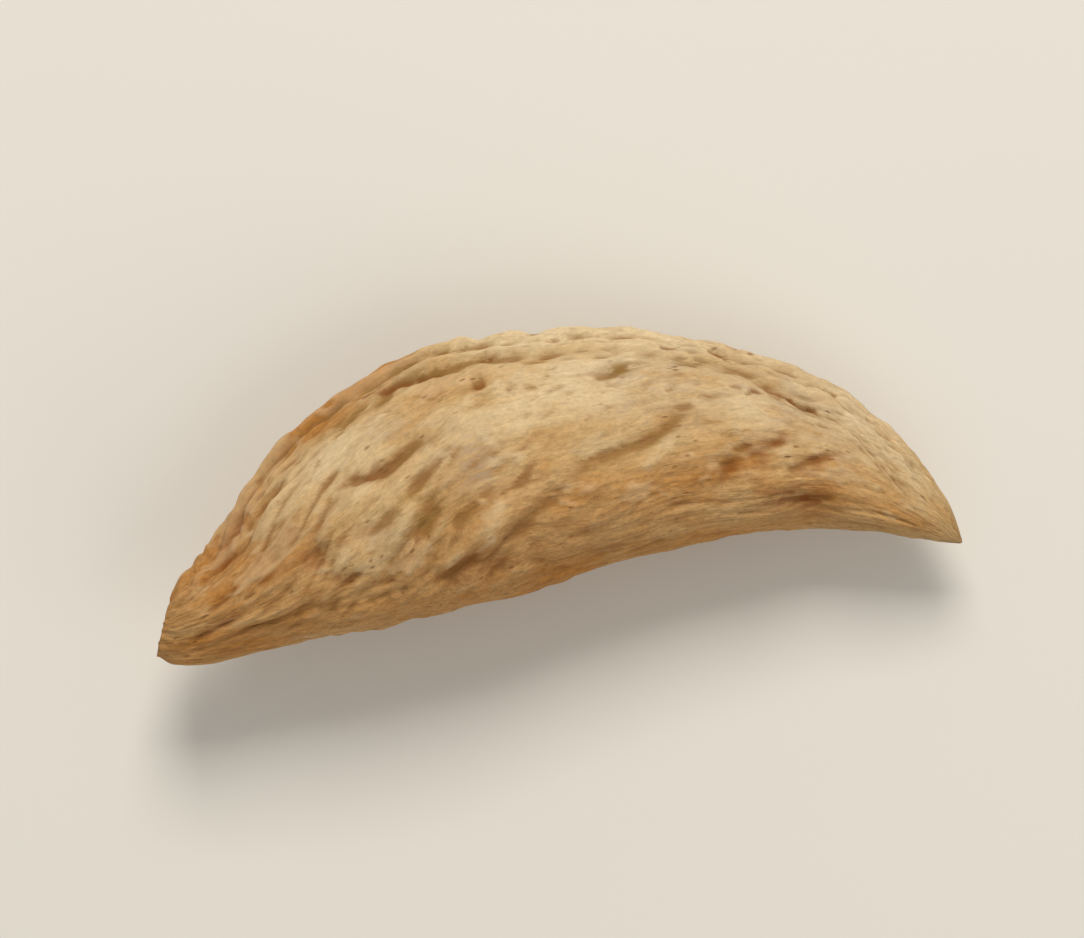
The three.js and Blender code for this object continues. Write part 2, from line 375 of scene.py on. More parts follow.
def feed(node: bpy.types.Node, inputs: dict[str | int, object]) -> None:
    """Sets a node's inputs to a value or a hex colour, or links them to a socket.

    Args:
        node: The node that takes them.
        inputs: What to give, by input name or number.
    """
    for name, value in inputs.items():
        if isinstance(value, Socket):
            node.id_data.links.new(value, node.inputs[name])
        else:
            is_hex = isinstance(value, str)
            node.inputs[name].default_value = linear_colour(value) if is_hex else value


def add_node(
    tree: bpy.types.NodeTree,
    kind: str,
    inputs: dict[str | int, object],
    output: str | int = 0,
    **settings: object,
) -> Socket:
    """Adds one node with its settings, and sets or links its inputs.

    Args:
        tree: The tree that takes the node.
        kind: The node's type name, without ShaderNode before it.
        inputs: Values, hex colours or sockets by input name or number.
        output: The name or number of the output to hand back.
        **settings: Properties of the node. A colour ramp's are its stops, each a place and a
            grey value or a hex colour.

    Returns:
        The output.
    """
    node = tree.nodes.new("ShaderNode" + kind)
    for number, (place, value) in enumerate(settings.pop("stops", ())):
        # A new colour ramp has two stops, so only a third and later ones are added.
        elements = node.color_ramp.elements
        element = elements[number] if number < 2 else elements.new(1.0)
        element.position = place
        is_hex = isinstance(value, str)
        element.color = linear_colour(value) if is_hex else (value, value, value, 1.0)
    for name, value in settings.items():
        setattr(node, name, value)
    feed(node, inputs)
    return node.outputs[output]


@dataclass
class ShellForm:
    """The almond's form, the same as the frame's solid: a teardrop section swept on a crescent."""

    thickness_shares: tuple[float, ...] = (0.95, 0.82, 0.78, 0.74)
    keel_sharpness: float = 0.62
    keel_edge: float = 0.08
    sharp_widening: float = 0.27
    rest_cut: float = 0.28
    tip_down: float = 3.5
    keel_down: float = 4.5
    patch_at: Pair = (19.0, 5.8)
    patch_radii: Pair = (6.5, 3.8)
    patch_worn: float = 0.85
    full_height: float = 6.4
    full_thickness: float = 5.0
    rim_lost: float = 0.16
    rim_width: float = 0.35
    solid_along: int = 80
    solid_around: int = 68
    end_crowding: float = 0.35
    stations: tuple[Station, ...] = (
        Station((1.5, 3.5), (0.1, -0.05)), Station((2.5, 4.5), (2.4, -0.5)),
        Station((4.0, 5.95), (6.8, -0.15)), Station((8.3, 10.1), (12.0, 0.15)),
        Station((15.0, 13.2), (16.9, 0.5)), Station((22.0, 13.3), (22.2, 1.35)),
        Station((28.8, 11.8), (27.3, 1.85)), Station((34.3, 9.1), (31.8, 1.9)),
        Station((37.8, 5.6), (35.1, 1.3)), Station((39.5, 2.4), (38.0, 0.45)),
        Station((40.0, 0.12), (39.95, 0.0)),
    )
    keel_bands: tuple[SeamBand, ...] = (
        SeamBand(0.0, 0.24, -0.18), SeamBand(0.5, 0.34, 0.3), SeamBand(1.0, 0.28, -0.26),
        SeamBand(1.6, 0.36, 0.14), SeamBand(2.3, 0.4, -0.36),
    )
    rim_grows: Pair = (3.5, 11.0)
    rim_drops: Pair = (17.7, 18.9)
    inner_delay: float = 3.5
    rim_spread: Pair = (2.0, 5.0)
    mark_wander: Grain = Grain(2.4, 2.4, 0.5, 53)
    rim_left: float = 0.3
    rim_breaks_before: float = 0.55
    rim_nicks: tuple[SeamBand, ...] = (SeamBand(18.6, 0.45, -0.3), SeamBand(21.0, 0.5, -0.28))
    nick_reach: float = 0.8
    inner_band: Pair = (0.4, 1.4)
    inland: Pair = (0.5, 3.0)
    flank_from_keel: Pair = (1.6, 2.9)
    flank_from_back: Pair = (0.3, 1.6)
    dents_from_middle: Pair = (0.3, 1.2)
    cheek_blend: float = 1.0
    sharpness_fade: float = 3.0
    stem_start: float = 0.6
    stem_rise: float = 3.0
    tip_fall: float = 5.0
    spread_lost: float = 0.5
    upper_calm: float = 0.5
    keel_crowding: float = 0.4
    back_seam: SeamBand = SeamBand(0.0, 0.5, -0.14)
    keel_wander: Grain = Grain(5.0, 1.0, 0.45, 41)
    keel_breaks: Grain = Grain(2.6, 1.0, 0.9, 47)
    swelling: Grain = Grain(7.0, 4.5, 0.6, 3)
    ribs: Grain = Grain(6.0, 1.9, 0.4, 11)
    furrows: Grain = Grain(9.0, 2.6, 0.36, 19)
    furrow_narrowness: float = 2.4
    furrow_gaps: Grain = Grain(4.0, 3.0, 1.0, 29)
    gap_softness: float = 0.25
    fibre_wander: Grain = Grain(7.0, 4.0, 0.7, 23)
    fibre_lean: float = 0.17
    scar_depth: float = 0.7
    scar_grain: Grain = Grain(1.6, 1.6, 0.5, 31)
    spine_steps: int = 200
    normal_step: float = 0.02
    dents: dict[Cheek, tuple[Mark, ...]] = field(
        default_factory=lambda: {
            Cheek.UPPER: marks(
                (12.9, 7.9, 4.6, 1.0, 22, 0.24), (17.65, 11.0, 1.3, 1.1, 0, 0.14),
                (24.4, 10.65, 2.6, 1.0, 0, 0.14), (29.9, 10.7, 2.6, 1.0, -20, 0.16),
                (31.3, 8.8, 2.8, 1.1, -15, 0.22), (33.1, 7.6, 2.8, 1.1, -27, 0.24),
                (25.1, 7.25, 5.8, 1.2, 20, 0.34), (25.7, 6.2, 5.0, 1.3, 20, -0.14),
                (30.4, 5.8, 3.0, 1.4, 24, 0.36), (28.8, 4.6, 1.6, 1.2, 30, 0.24),
                (31.2, 4.5, 4.2, 1.0, 6, -0.2), (33.3, 5.0, 3.0, 1.0, 14, 0.24),
                (32.5, 3.0, 2.8, 1.2, 4, 0.32), (14.0, 6.3, 2.4, 1.1, 44, 0.24),
                (14.2, 4.7, 2.8, 1.4, 48, 0.38), (13.0, 5.2, 2.6, 1.0, 48, -0.14),
                (18.8, 5.8, 2.6, 1.1, 46, 0.22), (19.9, 4.4, 4.6, 1.1, 29, 0.32),
                (17.1, 4.1, 2.4, 1.0, 48, -0.24), (16.1, 4.6, 2.6, 1.0, 46, 0.2),
                (15.9, 2.1, 2.6, 1.2, 18, 0.14), (8.4, 3.4, 2.6, 1.3, 52, 0.3),
                (10.0, 3.7, 2.2, 1.2, 48, -0.18), (9.6, 2.3, 1.8, 1.1, 20, 0.18),
                (11.6, 4.5, 2.4, 1.1, 46, 0.2), (4.1, 4.4, 3.0, 0.9, 34, 0.22),
                (4.4, 5.7, 2.8, 0.9, 42, 0.14), (3.2, 0.95, 4.8, 0.9, 20, 0.28),
            ),
            Cheek.LOWER: marks(
                (9.5, 6.4, 4.4, 0.9, 30, 0.4), (28.6, 8.2, 5.0, 1.0, -14, 0.36),
                (13.6, 10.2, 3.2, 0.8, 16, 0.34), (33.0, 4.6, 4.0, 1.2, -22, 0.3),
                (10.6, 2.4, 5.0, 1.3, 12, 0.3), (4.2, 2.2, 5.6, 0.8, 30, 0.3),
            ),
        }
    )

    def __post_init__(self) -> None:
        """Measures the spine, the line through the middle of the crescent, by short steps."""
        self.spine_t = np.linspace(0.0, 1.0, self.spine_steps + 1)
        steps = np.diff(self.middle_line(self.spine_t), axis=0)
        self.spine_s = np.concatenate([[0.0], np.cumsum(np.hypot(steps[:, 0], steps[:, 1]))])
        self.spine_length = float(self.spine_s[-1])

    def edges(self, t: Array) -> tuple[Array, Array]:
        """The keel edge and the back edge from above, at t from 0 at the stem end to 1."""
        keel = spline([station.keel for station in self.stations], t)
        return keel, spline([station.back for station in self.stations], t)

    def middle_line(self, t: Array) -> Array:
        """The points halfway between the keel edge and the back edge."""
        keel, back = self.edges(t)
        return (keel + back) / 2

    def tip(self) -> Array:
        """The point at the tip, as one row of x, y and z."""
        return np.array([[*self.middle_line(np.ones(1))[0], 0.0]])

    def fade(self, s: Array, stem: float, tip: float) -> Array:
        """Rises from 0 at the stem end over stem millimetres, and falls to 0 at the tip."""
        return ramp(0.0, stem, s) * ramp(0.0, tip, self.spine_length - s)

    def section(self, s: Array) -> Section:
        """The cross-sections at distances along the spine.

        Args:
            s: Distance from the stem end in mm.

        Returns:
            The sections as arrays in the shape of s.
        """
        share = np.clip(s / self.spine_length, 0.0, 1.0)
        keel, back = self.edges(np.interp(share * self.spine_length, self.spine_s, self.spine_t))
        up = keel - back
        full = np.maximum(np.linalg.norm(up, axis=-1), 1e-9)
        height = full / 2 * (1 - self.rim_lost * bump(s, self.rim_width))
        count = len(self.thickness_shares) - 1
        profile = [(n / count, value) for n, value in enumerate(self.thickness_shares)]
        return Section(
            middle=(keel + back) / 2,
            up=up / full[..., None],
            height=height,
            thickness=height * spline(profile, share)[..., 1],
            sharpness=self.keel_sharpness * self.fade(s, self.sharpness_fade, self.sharpness_fade),
        )

    def across_and_aside(self, part: Section, angle: Array) -> tuple[Array, Array]:
        """Where a point of a section lies: towards the keel, and out of the middle plane.

        The section is a teardrop: height times the cosine of the angle from the keel, and
        thickness times its sine, drawn in near the keel by the sine of half the angle to a power.
        A small value beside that sine keeps a radius on the edge.

        Args:
            part: The sections.
            angle: The angle round from the keel.

        Returns:
            The two distances in mm.
        """
        fullest = 1 - self.sharp_widening * part.sharpness
        drawn_in = np.hypot(np.sin(angle / 2), self.keel_edge) ** part.sharpness
        aside = part.thickness * np.sin(angle) * drawn_in / fullest
        return part.height * np.cos(angle), aside

    def smooth_point(self, s: Array, angle: Array) -> Array:
        """The points of the smooth shell, before anything grows on it.

        Args:
            s: Distance from the stem end in mm.
            angle: The angle round from the keel.

        Returns:
            The points, with x, y and z last.
        """
        part = self.section(s)
        across, aside = self.across_and_aside(part, angle)
        plan = part.middle + part.up * across[..., None]
        return np.concatenate([plan, aside[..., None]], axis=-1)

    def smooth_normal(self, s: Array, angle: Array) -> Array:
        """The outward normals of the smooth shell: the cross product of steps round and along it.

        Args:
            s: Distance from the stem end in mm.
            angle: The angle round from the keel.

        Returns:
            The normals, with x, y and z last.
        """
        step = self.normal_step
        ahead = self.smooth_point(np.minimum(s + step, self.spine_length), angle)
        behind = self.smooth_point(np.maximum(s - step, 0.0), angle)
        around = self.smooth_point(s, angle + step) - self.smooth_point(s, angle - step)
        normal = np.cross(around, ahead - behind)
        return normal / np.linalg.norm(normal, axis=-1, keepdims=True)

    def straightened(self, s: Array, angle: Array) -> Straightened:
        """Lays points out straight, so that fibres draw together at the ends but keep some spread.

        Args:
            s: Distance from the stem end in mm.
            angle: The angle round from the keel.

        Returns:
            The straightened coordinates and the distances from the two seams.
        """
        part = self.section(s)
        across, aside = self.across_and_aside(part, angle)
        return Straightened(
            s=s,
            y=across / part.height * mix(part.height, self.full_height, self.spread_lost),
            z=aside / part.thickness * mix(part.thickness, self.full_thickness, self.spread_lost),
            keel_gap=np.hypot(part.height - across, aside),
            back_gap=np.hypot(part.height + across, aside),
            plan=self.bent(part.middle + part.up * across[..., None]),
            side=aside,
        )

    def bent(self, plan: Array) -> Array:
        """Shifts points seen from above by a slow noise, which bends the marks out of straight.

        Args:
            plan: The points, with x and y last.

        Returns:
            The shifted points.
        """
        wander = self.mark_wander
        x, y = plan[..., 0] / wander.along, plan[..., 1] / wander.across
        shifts = [noise(x, y, row, wander.seed) for row in (0.5, 4.5)]
        return plan + wander.height * np.stack(shifts, axis=-1)

    def leaned(self, at: Straightened) -> Array:
        """The distance across the fibres, which lean to the keel and wander on their way."""
        return at.y - self.fibre_lean * at.s + self.fibre_wander.raised(at, at.y)

    def fibre_relief(self, at: Straightened) -> Array:
        """Height of the ribs, less the furrows: narrow creases where a slow noise crosses 0.

        Args:
            at: The straightened points.

        Returns:
            The height in mm.
        """
        leaned = self.leaned(at)
        furrow = np.abs(self.furrows.read(at, leaned)) * self.furrow_narrowness
        crease = (1 - np.minimum(furrow, 1)) ** 2
        gaps = self.furrow_gaps.read(at, leaned)
        opened = ramp(-self.gap_softness, self.gap_softness, gaps)
        return self.ribs.raised(at, leaned) - self.furrows.height * crease * opened

    def bands(self, bands: tuple[SeamBand, ...], gap: Array) -> Array:
        """Sum of the bands that run along a seam, at a distance from its edge."""
        return sum(band.height * bump(gap - band.at, band.width) for band in bands)

    def keel_strength(self, at: Straightened) -> tuple[Array, Array]:
        """How far the keel's bands wander from the edge, and how strongly they stand there.

        Args:
            at: The straightened points.

        Returns:
            The shift in mm, and the strength, about 1 where the rim is whole.
        """
        row = at.own_row()
        inner = ramp(*self.inner_band, at.keel_gap)
        starts = self.rim_drops[0] - self.rim_spread[0] * inner
        past = ramp(starts, self.rim_drops[1] + self.rim_spread[1] * inner, at.s)
        grown = ramp(*self.rim_grows, at.s - self.inner_delay * inner)
        rim = grown * mix(1.0, self.rim_left, past)
        rim = rim * ramp(0.0, self.tip_fall, self.spine_length - at.s)
        broken = self.keel_breaks.by_row(at.s, row)
        broken = broken * mix(self.rim_breaks_before, 1.0, np.maximum(past, inner))
        return self.keel_wander.by_row(at.s, row) * inner, rim * (1 + broken)

    def worn(self, at: Straightened) -> Array:
        """How smooth the lower cheek is worn where it rests: a flat-topped patch from above.

        Args:
            at: The straightened points.

        Returns:
            The share of relief that is gone.
        """
        x = (at.plan[..., 0] - self.patch_at[0]) / self.patch_radii[0]
        y = (at.plan[..., 1] - self.patch_at[1]) / self.patch_radii[1]
        return np.where(at.side < 0, self.patch_worn * np.exp(-(x**4) - y**4), 0.0)

    def relief(self, s: Array, angle: Array) -> Array:
        """Height of the grown surface over the smooth shell, as the frame's solid has it.

        It is the body's swelling, ribs and back seam, calmed at the ends and where the shell
        rests, with the keel's bands and nicks added and the cheeks' dents taken off.

        Args:
            s: Distance from the stem end in mm.
            angle: The angle round from the keel.

        Returns:
            The height in mm.
        """
        at = self.straightened(s, angle)
        inland = 0.3 + 0.7 * ramp(*self.inland, np.minimum(at.keel_gap, at.back_gap))
        swelling = self.swelling.height * inland * self.swelling.read(at, at.y)
        flank = 0.65 * ramp(*self.flank_from_keel, at.keel_gap)
        flank = 0.35 + flank * ramp(*self.flank_from_back, at.back_gap)
        calm = mix(1.0, self.upper_calm, ramp(-self.cheek_blend, self.cheek_blend, at.side))
        body = calm * ramp(0.0, self.stem_rise, s + self.stem_start)
        body = body * ramp(0.0, self.tip_fall, self.spine_length - s)
        body = body * (1 - self.worn(at))
        back = self.bands((self.back_seam,), at.back_gap)
        shift, strength = self.keel_strength(at)
        keel = strength * self.bands(self.keel_bands, at.keel_gap + shift)
        upper, lower = (summed_depth(self.dents[cheek], at.plan) for cheek in Cheek)
        dents = np.where(at.side > 0, upper, lower) * ramp(*self.dents_from_middle, np.abs(at.side))
        nicks = self.bands(self.rim_nicks, s) * bump(at.keel_gap, self.nick_reach)
        return body * (swelling + flank * self.fibre_relief(at) + back) + keel + nicks - dents

    def grid(self, along: int, around: int, crowding: float) -> tuple[Array, Array]:
        """Rings of points that crowd towards both ends, and round each ring towards the keel.

        Args:
            along: How many rings there are.
            around: How many points a ring has.
            crowding: How closely they stand at the keel, from 0 for evenly.

        Returns:
            The distance from the stem end in mm, and the angle round from the keel.
        """
        share = np.arange(along) / along
        crowded = share - self.end_crowding * np.sin(2 * np.pi * share) / (2 * np.pi)
        even = np.linspace(0, 2 * np.pi, around, endpoint=False)
        angle = even - crowding * np.sin(even)
        s, angle = np.broadcast_arrays((crowded * self.spine_length)[:, None], angle[None, :])
        return s.copy(), angle.copy()

    def outward(self) -> Array:
        """The direction out of the stem end, square to its rim."""
        up = self.section(np.zeros(1)).up[0]
        return np.array([-up[1], up[0], 0.0])

    def scar_points(self, share: Array, angle: Array, rim: Array) -> Array:
        """The hollow of the stem scar: a bowl with a ragged floor, deepest in the middle.

        Args:
            share: How far out a point lies, from 0 in the middle to 1 at the rim.
            angle: The angle round from the keel.
            rim: The rim's points at those angles.

        Returns:
            The points of the hollow.
        """
        centre = np.array([*self.section(np.zeros(1)).middle[0], 0.0])
        spot = self.scar_grain.along * share
        ragged = ringed(spot, angle, 0.5, self.scar_grain.seed)
        depth = self.scar_depth * (1 - share**2) ** 2
        depth = depth + self.scar_grain.height * ragged * (1 - share**4)
        return mix(centre, rim, share[..., None]) - self.outward() * depth[..., None]

    def shell_points(self, s: Array, angle: Array, extra: Array | float = 0.0) -> Array:
        """The points of the grown surface, with extra millimetres added along the normal."""
        height = self.relief(s, angle) + extra
        return self.smooth_point(s, angle) + self.smooth_normal(s, angle) * height[..., None]

    def turned(self, points: Array) -> Array:
        """Tips the shell down at the tip and at the keel, as it comes to rest.

        Args:
            points: The points, with x, y and z last.

        Returns:
            The tipped points.
        """
        a, b = math.radians(self.tip_down), math.radians(-self.keel_down)
        about_y = [[math.cos(a), 0, math.sin(a)], [0, 1, 0], [-math.sin(a), 0, math.cos(a)]]
        about_x = [[1, 0, 0], [0, math.cos(b), -math.sin(b)], [0, math.sin(b), math.cos(b)]]
        return points @ (np.array(about_x) @ np.array(about_y)).T

    def set_down_shift(self) -> Array:
        """How far the turned shell moves to lie centred at height 0, as the frame's solid does.

        Returns:
            The shift along x, y and z in mm.
        """
        s, angle = self.grid(self.solid_along, self.solid_around, self.keel_crowding)
        solid = self.shell_points(s, angle).reshape(-1, 3)
        points = self.turned(np.concatenate([solid, self.tip()]))
        low, high = points.min(axis=0), points.max(axis=0)
        middle = (low + high) / 2
        return -np.array([middle[0], middle[1], low[2] + self.rest_cut])


@dataclass(frozen=True)
class ShellFinish:
    """Dry lignified shell wood: matt, pale straw to tan; its browner furrows and dark pits are
    partly painted shade.
    """

    name: str = "dry_almond_shell_wood"
    cream: str = "#dcc49b"
    tan: str = "#c5a16d"
    ochre: str = "#b07838"
    crust: str = "#e2cda6"
    # Brown for flecks and stain marks, and for painted shade along dents and round pits.
    brown: str = "#82450e"
    # Brown for the veins on the back, and for painted shade in the creases.
    crease_shade_and_vein_brown: str = "#855a2a"
    # A greenish brown for the shell's own tint, and for painted shade in dents and the keel's
    # groove bands.
    olive: str = "#93713a"
    # Dark brown for the pores' wood, and for painted shade on pit and crack floors.
    pit_brown_and_shade: str = "#4a2d14"
    grey: str = "#b39a7e"
    ior: float = 1.5
    specular: float = 0.32
    roughness: float = 0.86
    rubbed: float = 0.1
    # Fibres and meal finer than this don't show in the render, so both are drawn this coarse.
    fibre_mm: float = 0.22
    grain_mm: float = 0.07

    def build(self) -> bpy.types.Material:
        """Builds the material from the shell's own attributes.

        Returns:
            The finished material.
        """
        material = bpy.data.materials.new(self.name)
        material.use_nodes = True
        add = partial(add_node, material.node_tree)
        fibre = add("Attribute", {}, "Vector", attribute_name="fibre")
        flecks = self.flecks(add, fibre)
        looks = {
            "Base Color": self.colour(add, fibre, flecks),
            "Roughness": self.rough(add, fibre),
            "IOR": self.ior,
            "Specular IOR Level": self.specular,
            "Normal": self.normal(add, fibre, flecks),
        }
        feed(material.node_tree.nodes["Principled BSDF"], looks)
        return material

    def fibre_noise(
        self,
        add: Adder,
        fibre: Socket,
        along: float,
        across: float,
        detail: float = 3.0,
        cut: Pair | None = None,
    ) -> Socket:
        """Noise drawn out along the fibres.

        Args:
            add: Adds a node to the material.
            fibre: The fibre coordinate in mm.
            along: Size of a swell along the fibres in mm.
            across: Size of a swell across them in mm.
            detail: How many finer layers it has.
            cut: Two levels that are spread over 0 to 1 with eased ends, if any.

        Returns:
            The noise, about 0.5.
        """
        scale = (1 / along, 1 / across, 1 / across)
        place = add("Mapping", {"Vector": fibre, "Scale": scale}, vector_type="POINT")
        look = {"Vector": place, "Scale": 1.0, "Detail": detail, "Roughness": 0.6}
        made = add("TexNoise", look, noise_dimensions="3D")
        if cut is None:
            return made
        levels = {"Value": made, "From Min": cut[0], "From Max": cut[1]}
        return add("MapRange", levels, interpolation_type="SMOOTHSTEP")

    def scattered(self, add: Adder, fibre: Socket, scale: tuple[float, float, float]) -> Socket:
        """The distance to the nearest of points strewn over the shell, so many a millimetre."""
        place = add("Mapping", {"Vector": fibre, "Scale": scale}, vector_type="POINT")
        return add("TexVoronoi", {"Vector": place, "Scale": 1.0}, "Distance", feature="F1")

    def flecks(self, add: Adder, fibre: Socket) -> Socket:
        """Small dark flecks drawn out along the fibres, in drifts.

        Args:
            add: Adds a node to the material.
            fibre: The fibre coordinate in mm.

        Returns:
            How much of a fleck shows, from 0 to 1.
        """
        near = self.scattered(add, fibre, (0.9, 2.2, 2.2))
        levels = {"Value": near, "From Min": 0.21, "From Max": 0.06}
        spot = add("MapRange", levels, interpolation_type="SMOOTHSTEP")
        drift = self.fibre_noise(add, fibre, 3.5, 1.8, cut=(0.42, 0.62))
        return add("Math", {0: spot, 1: drift}, operation="MULTIPLY")

    def colour(self, add: Adder, fibre: Socket, flecks: Socket) -> Socket:
        """The shell's colour: its slow tone, and over it each thing that tints, darkens or lightens
        it, among them painted shade in hollows, creases, dents and pits, and painted highlight on
        ridges.

        The grey, greenish and brown patches are bitten by a fine grain, so that none has an
        airbrushed edge.

        Args:
            add: Adds a node to the material.
            fibre: The fibre coordinate in mm.
            flecks: How much of a fleck shows.

        Returns:
            The colour.
        """
        noise_of = partial(self.fibre_noise, add, fibre)
        names = ("tone", "bare", "hollow", "ridge", "crust", "crease")
        names += ("grey", "olive", "brown", "pit")
        read = {name: add("Attribute", {}, "Fac", attribute_name=name) for name in names}
        tone = add("Math", {0: noise_of(9.0, 4.0, 4.0), 1: read["tone"]}, operation="ADD")
        tones = [(0.12, self.cream), (0.5, self.tan), (0.9, self.ochre)]
        streaks, meal = (
            add("ValToRGB", {"Fac": noise_of(*size)}, stops=[(low, dark), (0.5, 1.0), (high, pale)])
            for size, low, dark, high, pale in (
                ((5.0, self.fibre_mm, 2.0), 0.3, 0.76, 0.7, 1.14),
                ((0.3, 0.16, 3.0), 0.32, 0.78, 0.68, 1.18),
            )
        )
        bare = add("Math", {0: read["bare"], 1: 0.5, 2: 0.45}, operation="MULTIPLY_ADD")
        levels = {"Value": noise_of(0.9, 0.35), "From Min": 0.38, "From Max": 0.58}
        bite = add("MapRange", levels, interpolation_type="SMOOTHSTEP")
        bitten = add("Math", {0: bite, 1: 1.1, 2: 0.3}, operation="MULTIPLY_ADD")
        veined = add("Math", {0: read["bare"], 1: 0.35}, operation="MULTIPLY")
        base = add("ValToRGB", {"Fac": tone}, stops=tones)
        for share, strength, above, how in (
            (noise_of(1.6, 0.9, cut=(0.5, 0.75)), 0.28, self.ochre, "MIX"),
            (bare, 1.0, streaks, "MULTIPLY"),
            (1.0, 0.8, meal, "MULTIPLY"),
            (read["grey"], bitten, self.grey, "MIX"),
            # Painted shade: broad hollows found in the relief lean to ochre.
            (read["hollow"], 0.45, self.ochre, "MIX"),
            # Painted highlight: ridges found in the relief are paled with cream.
            (read["ridge"], 0.34, self.cream, "MIX"),
            (read["crust"], 0.22, self.crust, "MIX"),
            # Painted shade: creases found in the relief are browned, partly the shell's browner
            # furrows.
            (read["crease"], 0.64, self.crease_shade_and_vein_brown, "MIX"),
            (noise_of(7.0, 0.5, cut=(0.56, 0.72)), veined, self.crease_shade_and_vein_brown, "MIX"),
            (flecks, 0.6, self.brown, "MIX"),
            # Greenish brown: the shell's tint, and painted shade in the dents, wrinkles and keel's
            # groove bands.
            (read["olive"], bitten, self.olive, "MIX"),
            # Brown: stain marks, and painted shade along dents and creases and round the pits.
            (read["brown"], bitten, self.brown, "MIX"),
            # Pit and crack floors darken with their depth: the pores' darker wood and painted
            # shade.
            (read["pit"], 1.0, self.pit_brown_and_shade, "MIX"),
        ):
            shown = add("Math", {0: share, 1: strength}, operation="MULTIPLY")
            # A colour mix has its share at 0 and its colours at 6 and 7, and its result at 2.
            parts = {0: shown, 6: base, 7: above}
            base = add("Mix", parts, 2, data_type="RGBA", blend_type=how, clamp_factor=True)
        return base

    def rough(self, add: Adder, fibre: Socket) -> Socket:
        """Roughness: matt all over, a little smoother on ribs that have rubbed against others.

        Args:
            add: Adds a node to the material.
            fibre: The fibre coordinate in mm.

        Returns:
            The roughness.
        """
        ends = {"To Min": self.roughness - self.rubbed, "To Max": self.roughness + self.rubbed}
        rubbed = self.fibre_noise(add, fibre, 3.0, 1.2)
        return add("MapRange", {"Value": rubbed, "From Min": 0.3, "From Max": 0.7, **ends})

    def normal(self, add: Adder, fibre: Socket, flecks: Socket) -> Socket:
        """Fine fibres, dimples, pores and a dry, mealy grain, too small for the mesh to hold.

        Args:
            add: Adds a node to the material.
            fibre: The fibre coordinate in mm.
            flecks: How much of a fleck shows.

        Returns:
            The bent normal.
        """
        fibres = self.fibre_noise(add, fibre, 1.8, self.fibre_mm, 3.0)
        dimples = self.scattered(add, fibre, (1.4, 2.8, 2.8))
        pores = add("Math", {0: 1.0, 1: flecks}, operation="SUBTRACT")
        grain = self.fibre_noise(add, fibre, self.grain_mm * 2, self.grain_mm, 3.0)
        normal = {}
        for height, strength, depth_mm in (
            (fibres, 0.7, 0.1),
            (dimples, 0.5, 0.14),
            (pores, 0.6, 0.1),
            (grain, 0.6, 0.05),
        ):
            look = {"Height": height, "Strength": strength, "Distance": depth_mm * MM}
            normal = {"Normal": add("Bump", {**look, **normal})}
        return normal["Normal"]


